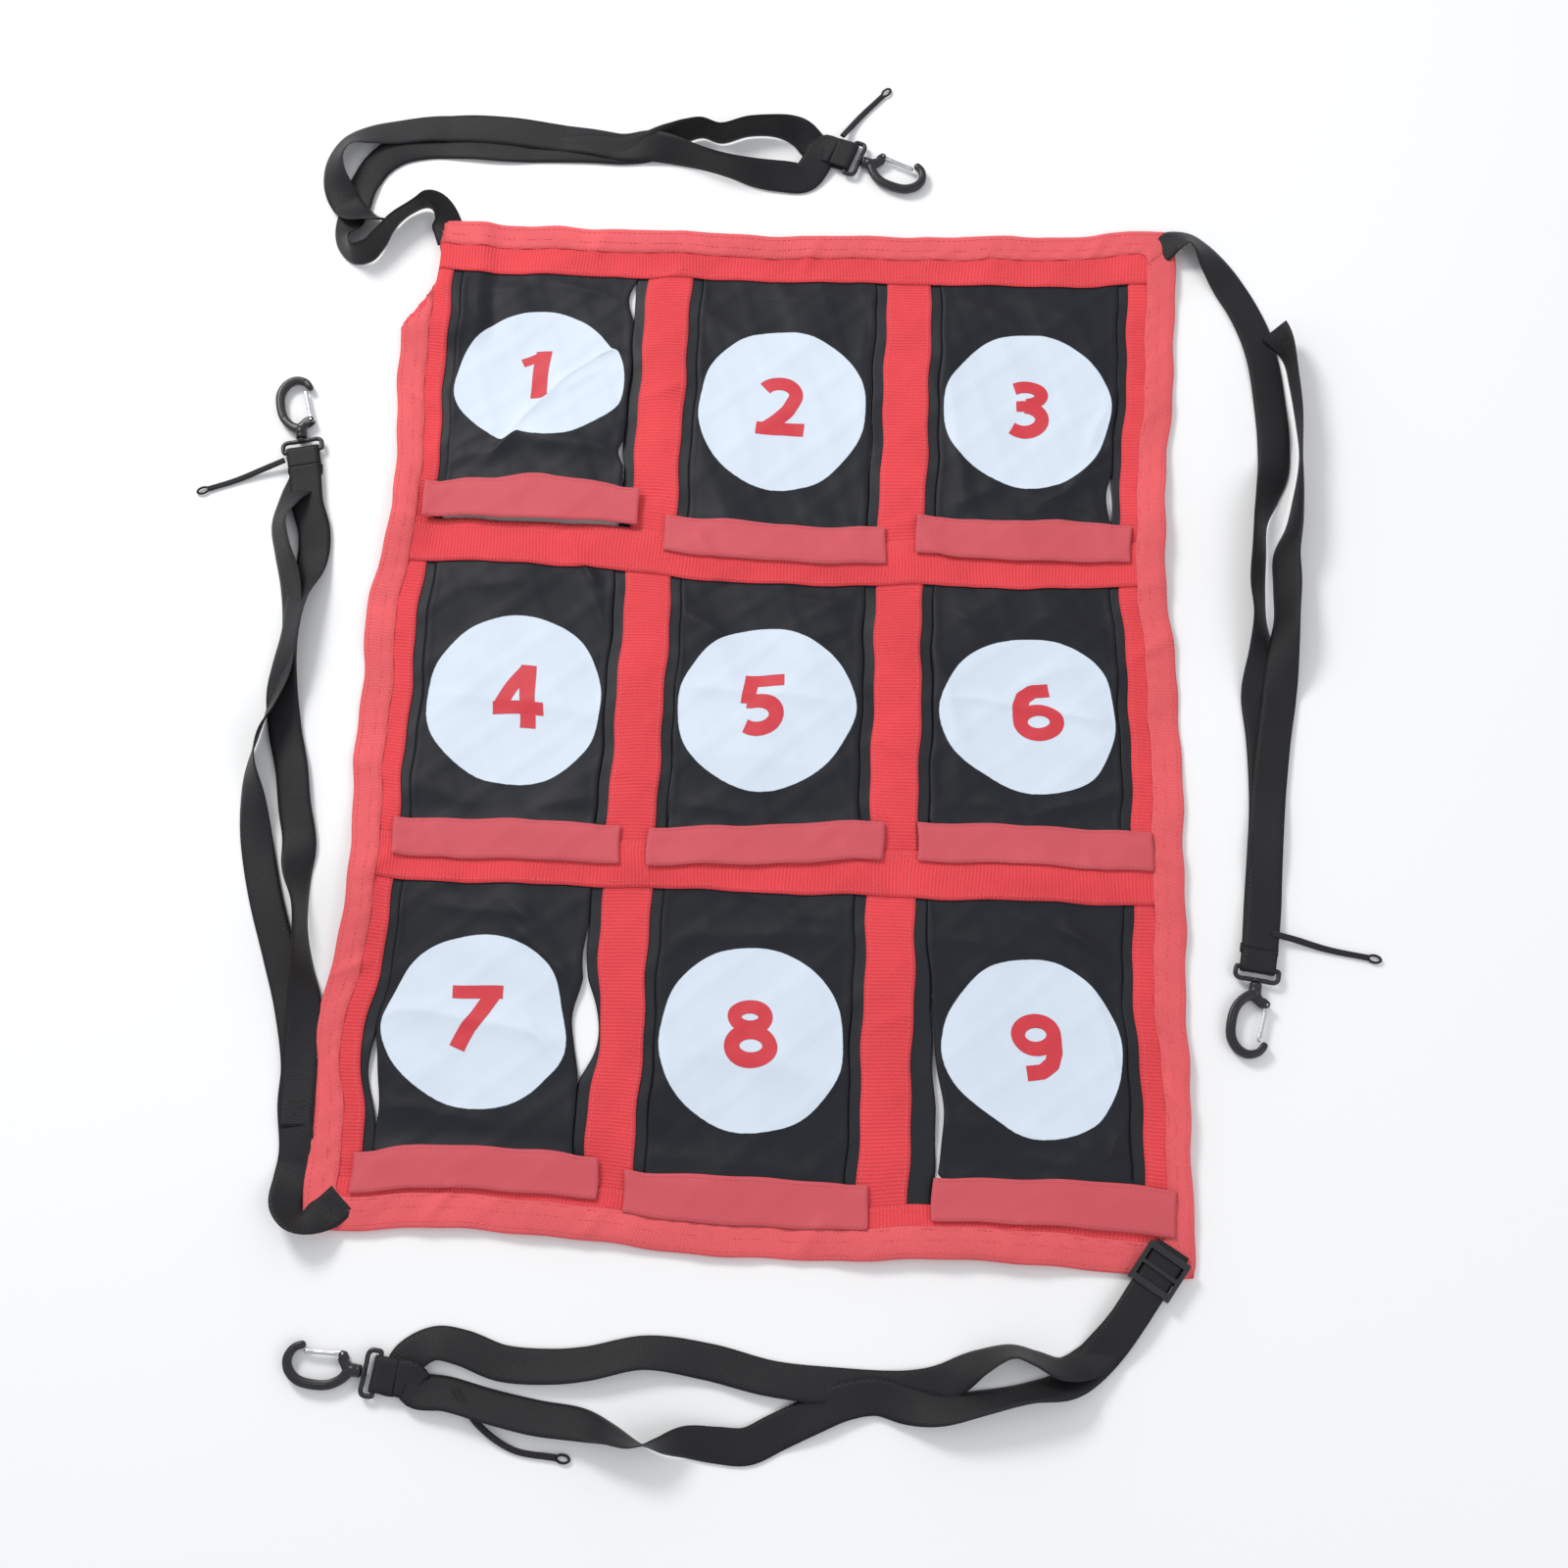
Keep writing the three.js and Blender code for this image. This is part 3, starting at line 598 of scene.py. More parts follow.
def keeper_loop(path):
    """The small sewn eye at a keeper's loose end."""
    end, before = path[-1], path[-4]
    along = unit(end - before)
    side = np.array([-along[1], along[0], 0])
    rings = []
    for t in np.linspace(0, 2 * math.pi, 20, endpoint=False):
        c = end + along * (4.5 + 4.5 * math.cos(t)) + side * 2.6 * math.sin(t)
        outward = unit(along * math.cos(t) + side * math.sin(t))
        c[2] = max(end[2], 1.0)
        rings.append([c + outward * 1.0 * math.cos(k) + np.array([0, 0,
            0.8]) * math.sin(k) for k in np.linspace(0, 2 * math.pi, 8, endpoint=False)])
    points, faces = loft(rings, closed=True)
    return points, faces, points[:, :2]


def sleeve(ribbon, s, wide=7.0):
    """A band of elastic round both runs of webbing."""
    rings = []
    for t in (s - wide / 2, s - wide / 2 + 0.4, s + wide / 2 - 0.4, s + wide / 2):
        thin = 0.5 if t in (s - wide / 2, s + wide / 2) else 0.0
        ring = []
        for k in np.linspace(0, 2 * math.pi, 28, endpoint=False):
            c, n = math.cos(k), math.sin(k)
            a = math.copysign(abs(c) ** 0.35, c) * (WEB_W / 2 + 1.2 - thin)
            z = math.copysign(abs(n) ** 0.35, n) * (2.3 - thin)
            p = ribbon.at(t, a, 0.0)
            o = ribbon.at(t, a, 1.0) - p
            ring.append(p + o * (z - WEB_T / 2))
        rings.append(ring)
    points, faces = loft(rings)
    points[:, 2] = np.maximum(points[:, 2], 0.1)
    return points, faces, points[:, :2]


def build_strap(corner, strap, seed):
    eye = strap["eye"]
    out = Ribbon(strap["out"] + wrap_around(eye), WEB_W, WEB_T, 2.2, 1.0, seed)
    back = Ribbon(leave_eye(eye) + strap["back"], WEB_W, WEB_T, 2.4, 1.0, seed + 2)
    runs = {}
    for word, ribbon in (("outgoing", out), ("return", back)):
        name = f"strap_{corner}_{word}_run"
        obj = new_object(f"{corner}_webbing_{word}", *ribbon.mesh())
        runs[word] = finish_piece(obj, "web", nodes=[name])
    threads = strap_stitches(out, 2.5, 20) + strap_stitches(back, back.s[-1] - 18, back.s[-1] - 2)
    thread = new_object(f"{corner}_strap_stitching", *merged(threads))
    finish_piece(thread, "dark_thread")
    keeper = Ribbon(strap["keeper"], 4.6, 2.2, 1.5)
    loop = keeper_loop(keeper.centre)
    body = new_object(f"{corner}_keeper", *keeper.mesh(0, 0.05))
    finish_piece(body, "elastic", nodes=[f"elastic_keeper_{corner}"])
    eyelet = finish_piece(new_object(f"{corner}_keeper_eye", *loop), "elastic")
    band = finish_piece(new_object(f"{corner}_keeper_band", *sleeve(out, out.s[-1] - 38)), "elastic")
    return out, back, keeper, runs, thread, body, eyelet, band


# ---------------------------------------------------------------- snap hooks
def section(half_u, half_w, count=16, power=2.6):
    k = np.linspace(0, 2 * math.pi, count, endpoint=False)
    c, s = np.cos(k), np.sin(k)
    return np.sign(c) * np.abs(c) ** (2 / power) * half_u, np.sign(s) * np.abs(s) ** (2 / power) * half_w


def sweep(points, widths, heights, step=1.2, closed=False, power=2.6, w=0.0):
    """A bar along a flat line of (u, v), with half widths in the plane and half heights out of it."""
    pts = np.array([(u, v, 0.0, a, b) for (u, v), a, b in zip(points, widths, heights)])
    if closed:
        pts = np.vstack([pts, pts[:1]])
    line, _ = catmull(pts, step)
    if closed:
        line = line[:-1]
    c = line[:, :3]
    t = unit(np.roll(c, -1, 0) - np.roll(c, 1, 0)) if closed else unit(np.gradient(c, axis=0))
    side = np.stack([-t[:, 1], t[:, 0], np.zeros(len(t))], 1)
    rings = []
    for i in range(len(c)):
        a, b = section(line[i, 3], line[i, 4], power=power)
        ring = c[i] + side[i] * a[:, None] + np.array([0, 0, 1.0]) * b[:, None]
        ring[:, 2] += w
        rings.append(ring)
    pts, faces = loft(rings, closed)
    return pts, faces, pts[:, :2]


def rounded(points, widths, heights, **kwargs):
    """A sweep whose two ends are rounded off."""
    p = [np.array(q, float) for q in points]
    first, last = unit(p[0] - p[1]), unit(p[-1] - p[-2])
    head = [(p[0] + first * widths[0] * k, widths[0] * f, heights[0] * f) for k,
        f in ((0.8, 0.35), (0.55, 0.75))]
    tail = [(p[-1] + last * widths[-1] * k, widths[-1] * f, heights[-1] * f) for k,
        f in ((0.55, 0.75), (0.8, 0.35))]
    pts = [tuple(q) for q, _, _ in head] + [tuple(q) for q in p] + [tuple(q) for q, _, _ in tail]
    ws = [a for _, a, _ in head] + list(widths) + [a for _, a, _ in tail]
    hs = [b for _, _, b in head] + list(heights) + [b for _, _, b in tail]
    return sweep(pts, ws, hs, **kwargs)


def lathe(profile, count=28):
    """A turned piece about the u axis from (u, radius) pairs."""
    rings = [[(u, r * math.cos(k), r * math.sin(k)) for k in np.linspace(0, 2 * math.pi, count,
        endpoint=False)] for u, r in profile]
    points, faces = loft(rings)
    return points, faces, points[:, :2]


def hook_body():
    spine = [(19, -1), (23, -7), (31, -12.2), (42, -13.9), (53, -12.6), (60.5, -7), (63, 0.5), (60, 7.8),
        (54.6, 11)]
    widths = [3.6, 3.4, 3.4, 3.5, 3.5, 3.35, 3.1, 2.8, 2.6]
    heights = [3.3, 3.1, 3.0, 3.0, 3.0, 3.0, 3.0, 3.0, 2.9]
    parts = [rounded(spine, widths, heights, power=3.2)]
    for w in (2.75, -2.75):
        parts.append(sweep(spine[2:8], [0.7] * 6, [0.6] * 6, w=w, power=2))
    parts.append(rounded([(19.5, 0), (23, 3.4), (25.4, 6.2)], [4.2, 3.4, 3.0], [3.3, 3.2, 3.1], power=3.2))
    for w in (2.55, -2.55):
        parts.append(rounded([(24, 5.5), (25.5, 9.2)], [3.2, 2.7], [0.7, 0.62], w=w, power=4))
    collar = [(10.8, 2.4), (10.8, 3.7), (11.3, 4.25), (12.4, 4.5), (13.2, 4.5), (13.5, 4.15), (14.1, 4.15),
        (14.4, 4.5), (17.4, 4.5)]
    collar += [(18.6, 4.2), (20.5, 3.6), (22, 2.4)]
    parts.append(lathe(collar))
    return merged(parts)


def gate_body():
    a = math.radians(5)
    p0, p1 = np.array([25.5, 9.2]), np.array([25.5 + 26.2 * math.cos(a), 9.2 - 26.2 * math.sin(a)])
    mid = [tuple(p0 + (p1 - p0) * t) for t in (0, 0.2, 0.5, 0.8, 1)]
    parts = [rounded(mid, [2.0, 1.75, 1.6, 1.6, 1.6], [1.65] * 5, power=4)]
    inner = [tuple(np.array(q) + (0.0, -0.2)) for q in mid[1:4]]
    parts.append(sweep(inner, [0.55] * 3, [0.4] * 3, w=1.5, power=2))
    pin = np.array([[u, v, w] for w, r in ((-3.2, 0.5), (-3.1, 0.95), (-2.6, 1.0), (2.6, 1.0), (3.1, 0.95),
        (3.2, 0.5))
                    for u, v in [(25.5 + r * math.cos(k), 9.2 + r * math.sin(k)) for k in np.linspace(0,
                    2 * math.pi, 14, endpoint=False)]])
    points, faces = loft(pin.reshape(6, 14, 3))
    parts.append((points, faces, points[:, :2]))
    return merged(parts)


def eye_body():
    corners = [(0, -14.9), (2.5, -15.3), (6.5, -14.9), (8.3, -12.5), (8.3, -6), (8.4, 0), (8.3, 6),
        (8.3, 12.5), (6.5, 14.9),
               (2.5, 15.3), (0, 14.9), (0, 7), (0, 0), (0, -7)]
    wide = [1.75, 1.75, 1.75, 1.7, 1.7, 1.8, 1.7, 1.7, 1.75, 1.75, 1.75, 1.72, 1.72, 1.72]
    parts = [sweep(corners, wide, wide, closed=True, power=2.2)]
    parts.append(lathe([(6.9, 1.5), (7.4, 3.2), (8.6, 3.6), (9.6, 3.5), (10.2, 2.6), (10.3, 2.0), (17, 2.0)]))
    return merged(parts)


def at_eye(parts, eye):
    points, faces, uv = parts
    x, y, heading, side = eye
    a = math.radians(heading)
    p = np.array(points, float)
    p[:, 1] *= side
    moved = np.stack([
        x + p[:, 0] * math.cos(a) - p[:, 1] * math.sin(a),
        y + p[:, 0] * math.sin(a) + p[:, 1] * math.cos(a),
        p[:, 2] + EYE_Z,
    ], 1)
    faces = [tuple(reversed(f)) for f in faces] if side < 0 else faces
    return moved, faces, uv


def build_hook(corner, eye):
    swivel = new_object(f"{corner}_swivel_eye", *at_eye(eye_body(), eye))
    finish_piece(swivel, "plastic", nodes=[f"swivel_eye_{corner}"])
    hook = new_object(f"{corner}_snap_hook", *at_eye(hook_body(), eye))
    finish_piece(hook, "plastic", f"hook_{corner}", [f"snap_hook_{corner}"])
    gate = new_object(f"{corner}_gate", *at_eye(gate_body(), eye))
    finish_piece(gate, "steel", f"gate_{corner}", [f"hook_gate_{corner}"])
    return swivel, hook, gate


def build_straps():
    for k, (corner, strap) in enumerate(STRAPS.items()):
        out, back, keeper, runs, thread, body, eyelet, band = build_strap(corner, strap, k * 1.7)
        fittings = build_hook(corner, strap["eye"])


build_straps()


def box_part(a0, a1, b0, b1, z0, z1):
    """A plain box in the slider's frame, as rings along a."""
    ring = [(b0, z0), (b1, z0), (b1, z1), (b0, z1)]
    points, faces = loft([[(a, b, z) for b, z in ring] for a in (a0, a1)])
    return points, faces, points[:, :2]


def build_slider():
    half, rail, tall = WEB_W / 2 + 0.5, 3.2, 6.3
    parts = [
        box_part(-15, 15, half, half + rail, 0, tall), box_part(-15, 15, -half - rail, -half, 0, tall),
        box_part(-2.5, 2.5, -half - 1, half + 1, 0, 1.1), box_part(-15, -10, -half - 1, half + 1, 4.8, tall),
        box_part(10, 15, -half - 1, half + 1, 4.8, tall),
        box_part(-1.6, 1.6, -half - 1, half + 1, 4.9, tall - 0.2),
    ]
    points, faces, uv = merged(parts)
    a = math.radians(-122.9)
    moved = np.stack([
        288 + points[:, 0] * math.cos(a) - points[:, 1] * math.sin(a),
        -412 + points[:, 0] * math.sin(a) + points[:, 1] * math.cos(a),
        points[:, 2] + 4.3,
    ], 1)
    obj = new_object("bottom_right_slider", moved, faces, uv, smooth=False)
    bevel = obj.modifiers.new("round_over", "BEVEL")
    bevel.width, bevel.segments = 0.0008, 3
    finish_piece(obj, "plastic", "slider_bottom_right", ["strap_slider_bottom_right"])


build_slider()

# ---------------------------------------------------------------- how the cloth lies
SHEET_W, SHEET_H = 620, 820
BAR, SIDE, TOP_BAND, BOTTOM_BAND, OPEN_W, OPEN_H = 36, 37, 48, 37, 158, 221
COLUMN_X, ROW_TOP = (-194, 0, 194), (362, 105, -152)

# Where the cloth is drawn out of square: [x, y, pull in x, pull in y, reach in x, reach in y].
PULLS = [
    (0, 125, 0, -13, 110, 60), (200, 110, -3, -9, 110, 70), (-194, -385, 3, 8, 90, 60),
    (20, -390, 0, -6, 90, 50),
    (290, -395, 3, -7, 60, 50), (-20, 405, 0, -10, 200, 30), (-310, 165, 9, 0, 40, 60),
    (-310, -155, 8, 0, 40, 60),
    (310, 150, -11, 0, 60, 110), (-310, 60, -3, 0, 40, 40), (-310, -270, -3, 0, 40, 50),
    (290, 395, 0, 5, 50, 40),
    (280, -318, 8, 0, 22, 60), (-278, -278, -7, 0, 26, 40), (-108, -262, 6, 0, 24, 46),
]
# Low swells where it doesn't touch the floor: [x, y, reach in x, reach in y, height].
SWELLS = [
    (-305, 165, 26, 60, 7), (-300, -160, 26, 70, 6), (312, 150, 30, 90, 6), (-20, 405, 130, 22, 5),
    (0, 128, 120, 16, 4),
    (310, -300, 24, 60, 5), (130, -400, 70, 18, 5), (-120, -402, 60, 16, 4), (-97, -60, 20, 90, 3),
    (97, 60, 18, 80, 3),
    (97, -260, 20, 60, 4), (-97, 250, 18, 70, 4), (-60, -134, 90, 14, 3), (200, -132, 60, 16, 4),
    (-290, 330, 30, 60, 3),
]
RIPPLES = [
    (0.031, 0.012, 0.4, 1.6), (-0.014, 0.026, 2.1, 1.5), (0.052, -0.021, 1.1, 0.9), (0.02, 0.06, 5.2, 0.8),
    (0.085, 0.05, 3.3, 0.55), (-0.11, 0.13, 1.7, 0.4), (0.19, 0.06, 0.3, 0.28),
]
# Small sharp creases in the hem and the bars: [from, to, height].
NICKS = [
    ((-162, 132), (-138, 90), 3.2), ((-310, 165), (-272, 120), 2.4), ((-308, 62), (-280, 40), 2),
    ((-308, -60), (-284, -74), 2),
    ((-308, -226), (-280, -214), 2.4), ((-310, -345), (-282, -362), 2), ((-222, -406), (-205, -380), 2),
    ((-112, -408), (-94, -382), 2.2),
    ((38, -408), (56, -382), 2), ((182, -408), (196, -380), 2), ((308, 252), (282, 264), 1.8),
    ((308, 62), (280, 44), 2.2),
    ((306, -122), (276, -106), 2.2), ((308, -302), (284, -282), 2), ((-150, 406), (-162, 380), 2),
    ((22, 402), (10, 372), 2.2),
    ((150, 406), (166, 378), 1.8), ((252, 406), (240, 384), 1.6), ((-114, 252), (-84, 262), 1.5),
    ((82, -28), (114, -44), 1.8),
    ((82, -252), (114, -238), 1.8), ((-114, -58), (-84, -72), 1.6), ((-62, 144), (-40, 106), 1.8),
    ((58, -114), (92, -150), 2),
    ((238, -116), (256, -148), 2), ((-242, -118), (-224, -152), 1.8), ((118, 140), (150, 104), 1.8),
    ((-20, -150), (20, -160), 1.4),
    ((-300, 250), (-276, 236), 1.8), ((-86, 372), (-110, 352), 1.6), ((84, 150), (114, 160), 1.6),
    ((-300, -150), (-270, -128), 1.8),
]


def ridge(x, y, start, end, half, ends=8):
    """A soft ridge between two points, 1 on its line and fading within half a width, and how far off it a point is."""
    length = math.dist(start, end)
    a, b = (end[0] - start[0]) / length, (end[1] - start[1]) / length
    along = (x - start[0]) * a + (y - start[1]) * b
    off = -(x - start[0]) * b + (y - start[1]) * a
    fade = smoothstep((along + ends) / (2 * ends)) * smoothstep((length + ends - along) / (2 * ends))
    return fade * np.exp(-np.abs(off / half) ** 1.6), off, fade, (a, b)


def swell(x, y):
    z = np.full(np.shape(x), 0.1)
    for kx, ky, shift, height in RIPPLES:
        z = z + height * np.maximum(0, np.sin(kx * x + ky * y + shift)) ** 2
    for cx, cy, rx, ry, height in SWELLS:
        z = z + height * np.exp(-(((x - cx) / rx) ** 2) - ((y - cy) / ry) ** 2)
    for start, end, height in NICKS:
        z = z + height * ridge(x, y, start, end, 4.5)[0]
    return z


def fold_line(y):
    """The x that the top left corner is folded under at."""
    return -312 + 30 * smoothstep((y - 292) / 62)


def lay(x, y, h):
    """Where the cloth's point x, y at height h in the stack of layers comes to lie."""
    x, y, h = (np.asarray(v, float) for v in (x, y, h))
    dx = 0.7 * np.sin(y / 17 + x / 60) + 0.5 * np.sin(y / 7.3 + x / 25)
    dy = 0.7 * np.sin(x / 19 + y / 70) + 0.4 * np.sin(x / 8.1)
    for cx, cy, px, py, rx, ry in PULLS:
        w = np.exp(-(((x - cx) / rx) ** 2) - ((y - cy) / ry) ** 2)
        dx, dy = dx + px * w, dy + py * w
    line = fold_line(y)
    lift = 4.6 * smoothstep((y - 285) / 30) * smoothstep((-236 - x) / 16)
    r = np.maximum(lift / 2, 0.3)
    past = np.maximum(line - x, 0)
    turn = np.clip(past / r, 0, math.pi)
    flat = np.maximum(past - math.pi * r, 0)
    folded = (1 - np.cos(turn)) / 2
    fx = np.where(past > 0, line - np.sin(turn) * (r + 0.5 * h) + flat, x)
    fz = lift / 2 + np.cos(turn) * r - (r - lift / 2) + h * (1 - folded) + 0.22 * (4 - h) * folded
    return fx + dx, y + dy, np.where(past > 0, np.maximum(fz, 0.1), h + lift) + swell(x, y)


# ---------------------------------------------------------------- cloth frame
FACING_H, UPRIGHT_H, CROSS_H = (0.2, 0.7), (0.9, 1.7), (1.9, 2.7)


def band(name, node_name, x0, x1, y0, y1, heights, tall):
    xs, ys = spaced(x0, x1, 3.2), spaced(y0, y1, 3.2)
    obj = new_object(name, *slab(xs, ys, *heights, lay, turn_uv=not tall))
    finish_piece(obj, "band", nodes=[node_name])
    return obj


def build_frame():
    x, y, inner = SHEET_W / 2 - 0.8, SHEET_H / 2 - 0.8, OPEN_W / 2
    band("left_band", "frame_band_left", -x, -x + SIDE, -y, y, UPRIGHT_H, True)
    band("right_band", "frame_band_right", x - SIDE, x, -y, y, UPRIGHT_H, True)
    band("top_band", "frame_band_top", -x, x, y - TOP_BAND, y, CROSS_H, False)
    band("bottom_band", "frame_band_bottom", -x, x, -y, -y + BOTTOM_BAND, CROSS_H, False)
    band("left_upright", "grid_bar_left", -inner - BAR, -inner, -y, y, UPRIGHT_H, True)
    band("right_upright", "grid_bar_right", inner, inner + BAR, -y, y, UPRIGHT_H, True)
    for word, top in (("upper", ROW_TOP[0] - OPEN_H), ("lower", ROW_TOP[1] - OPEN_H)):
        band(f"{word}_crossbar", f"grid_bar_{word}", -x, x, top - BAR, top, CROSS_H, False)


def rectangle(inset, step=3.0):
    """Points round the sheet's outline, set in, with rounded corners."""
    hw, hh, r = SHEET_W / 2 - inset, SHEET_H / 2 - inset, max(1.0, 9 - inset)
    out = []
    for cx, cy, start in ((hw - r, hh - r, 0), (-hw + r, hh - r, 90), (-hw + r, -hh + r, 180),
        (hw - r, -hh + r, 270)):
        for k in np.linspace(0, 90, 6):
            a = math.radians(start + k)
            out.append((cx + r * math.cos(a), cy + r * math.sin(a)))
    out.append(out[0])
    dense = []
    for a, b in zip(out, out[1:]):
        n = max(1, int(round(math.dist(a, b) / step)))
        dense += [(a[0] + (b[0] - a[0]) * k / n, a[1] + (b[1] - a[1]) * k / n) for k in range(n)]
    return np.array(dense)


def outline_at(inset):
    """The outline with the same count of points at every inset."""
    base = rectangle(0)
    hw, hh = SHEET_W / 2, SHEET_H / 2
    fx, fy = (hw - inset) / hw, (hh - inset) / hh
    return base * np.array([fx, fy])


def hem_drop(x, y):
    """How much lower the hem lies where only the uprights are under it."""
    deep = np.maximum(smoothstep((y - 350) / 10), smoothstep((-362 - y) / 10))
    for top in (ROW_TOP[0] - OPEN_H, ROW_TOP[1] - OPEN_H):
        deep = np.maximum(deep, smoothstep((top + 8 - y) / 7) * smoothstep((y - top + BAR + 8) / 7))
    return 1.0 * (1 - deep)


def build_hem():
    """The binding folded over the sheet's edge, puckered along its seam."""
    section_line = [(23, 3.0), (22.6, 3.5), (18, 3.6), (12, 3.7), (6, 3.6), (2, 3.4), (0.3, 2.8), (0, 1.8),
        (0.4, 0.7), (3, 0.1),
                    (10, 0.0), (20, 0.0), (20, 0.15), (10, 0.15), (3.4, 0.5), (1.6, 1.1), (1.5, 2.3),
                    (3, 2.85), (10, 2.95), (20, 2.95)]
    rings = []
    base = rectangle(0)
    s = np.concatenate([[0], np.cumsum(np.linalg.norm(np.diff(base, axis=0), axis=1))])
    pucker = 0.28 * np.sin(s / 2.9 + 1.5 * np.sin(s / 21)) + 0.2 * np.sin(s / 5.7)
    for inset, h in section_line:
        p = outline_at(inset)
        up = pucker * (1 if h > 2.7 else 0) * math.exp(-(((inset - 19) / 9) ** 2))
        rings.append(np.stack(lay(p[:, 0], p[:, 1],
            np.maximum(h - hem_drop(p[:, 0], p[:, 1]) * (h > 0.9), 0) + up), 1))
    rings = np.swapaxes(np.array(rings), 0, 1)
    points, faces = loft(rings, closed=True)
    across = np.cumsum([0] + [math.dist(a, b) for a, b in zip(section_line, section_line[1:])])
    uv = np.stack(np.broadcast_arrays(across[None, :], s[:, None]), -1).reshape(-1, 2)
    obj = new_object("edge_binding", points, [tuple(reversed(f)) for f in faces], uv)
    finish_piece(obj, "hem", nodes=["frame_hem"])


# Slits that gape: [flap, side, middle y, half length, pull on the flap, pull on the facing].
SLITS = [
    (7, 1, -260, 40, 8, 7.5), (7, 1, -222, 48, 1.8, 1.4), (7, -1, -302, 40, 3, 3.5),
    (9, -1, -311, 50, 4.4, 0), (3, 1, 176, 22, 4.6, 1), (1, 1, 340, 20, 4.2, 1),
    (1, 1, 188, 13, 3.4, 1), (5, -1, -66, 46, 1.1, 0.6), (2, 1, 230, 70, 0.9, 0), (8, -1, -300, 40, 0.8, 0),
    (6, 1, -20, 60, 0.8, 0),
]
PROUD, FLAP_HALF = 9.0, 70.4


def slit_shape(y, middle, half):
    t = np.clip((y - middle) / half, -1, 1)
    return (1 - t * t) ** 1.5


def facing_place(x, y, h):
    x, y = np.asarray(x, float), np.asarray(y, float)
    move = np.zeros_like(x)
    for n, side, middle, half, _, pull in SLITS:
        edge = COLUMN_X[(n - 1) % 3] + side * (79 - PROUD)
        near = np.exp(-(((x - edge) / 9) ** 2))
        move = move + side * pull * slit_shape(y, middle, half) * near
    drawn = smoothstep((-150 - y) / 180) * np.exp(-(((x - 126) / 9) ** 2))
    return lay(x + move + 9 * drawn, y, h)


def build_facings():
    inner, prouder = OPEN_W / 2, PROUD
    spans = {
        "left": (-306, -310 + SIDE + prouder), "middle_left": (-inner - BAR - prouder, -inner + prouder),
        "middle_right": (inner - prouder, inner + BAR + prouder), "right": (310 - SIDE - prouder, 306),
    }
    for word, (x0, x1) in spans.items():
        obj = new_object(f"{word}_facing", *slab(spaced(x0, x1, 2.0), spaced(-405, 405, 3.2), *FACING_H,
            facing_place))
        finish_piece(obj, "flap", nodes=[f"facing_{word}"])


def on_lay(points, h):
    p = np.asarray(points, float)
    return np.stack(lay(p[:, 0], p[:, 1], np.full(len(p), h)), 1)


def straight(a, b, step=6):
    n = max(2, int(math.dist(a, b) / step))
    return [(a[0] + (b[0] - a[0]) * t, a[1] + (b[1] - a[1]) * t) for t in np.linspace(0, 1, n)]


def build_stitching():
    """Rows of stitches along the hem, along every bar, and boxes where bars cross."""
    parts = []
    for inset, h in ((21, 3.6), (13.5, 3.76), (4, 3.68)):
        line = outline_at(inset)
        line = np.vstack([line, line[:1]])
        high = h - hem_drop(line[:, 0], line[:, 1])
        parts += stitch_row(np.stack(lay(line[:, 0], line[:, 1], high), 1), 4.2, 3.0, 0.5)
    x, y, inner = SHEET_W / 2 - 24, SHEET_H / 2 - 24, OPEN_W / 2
    for edge in (-inner - BAR + 3, -inner - 3, inner + 3, inner + BAR - 3, -310 + SIDE - 3, 310 - SIDE + 3):
        parts += stitch_row(on_lay(straight((edge, -y), (edge, y)), 1.75), 4.2, 3.0, 0.5)
    crossing = []
    for top in (ROW_TOP[0] - OPEN_H, ROW_TOP[1] - OPEN_H):
        crossing += [top - 3, top - 7.5, top - BAR + 3]
    crossing += [410 - TOP_BAND + 3, 410 - TOP_BAND + 7.5]
    for edge in crossing:
        parts += stitch_row(on_lay(straight((-x, edge), (x, edge)), 2.78), 4.2, 3.0, 0.5)
    for cx in (-inner - BAR / 2, inner + BAR / 2):
        for cy in (ROW_TOP[0] - OPEN_H - BAR / 2, ROW_TOP[1] - OPEN_H - BAR / 2, 386 - 5, -391 + 3):
            a = 13
            box = [(cx - a, cy - a), (cx + a, cy - a), (cx + a, cy + a), (cx - a, cy + a), (cx - a, cy - a)]
            for p, q in zip(box, box[1:]):
                parts += stitch_row(on_lay(straight(p, q, 4), 2.78), 3.6, 2.6, 0.5)
    obj = new_object("frame_stitching", *merged(parts))
    finish_piece(obj, "thread")


# ---------------------------------------------------------------- flaps
# How each flap is drawn: middle pulled by (x, y), foot moved by (x, y at its left end, y at its right end),
# foot lifted.
DRAWN = {
    1: ((-5, 18), (-1, 14, 16, 5)), 2: ((-2, 0), (-1, -1, -4, 0)), 3: ((-1, 2), (2, 4, -2, 1)),
    4: ((3, 5), (4, -3, -4, 0)),
    5: ((-5, 4), (3, -6, 6, 1)), 6: ((6, 4), (7, 7, 4, 0)), 7: ((-7, 13), (3, 3, 6, 1)),
    8: ((-1, 9), (1, 0, 0, 0)),
    9: ((5, 6), (14, 4, 6, 1)),
}
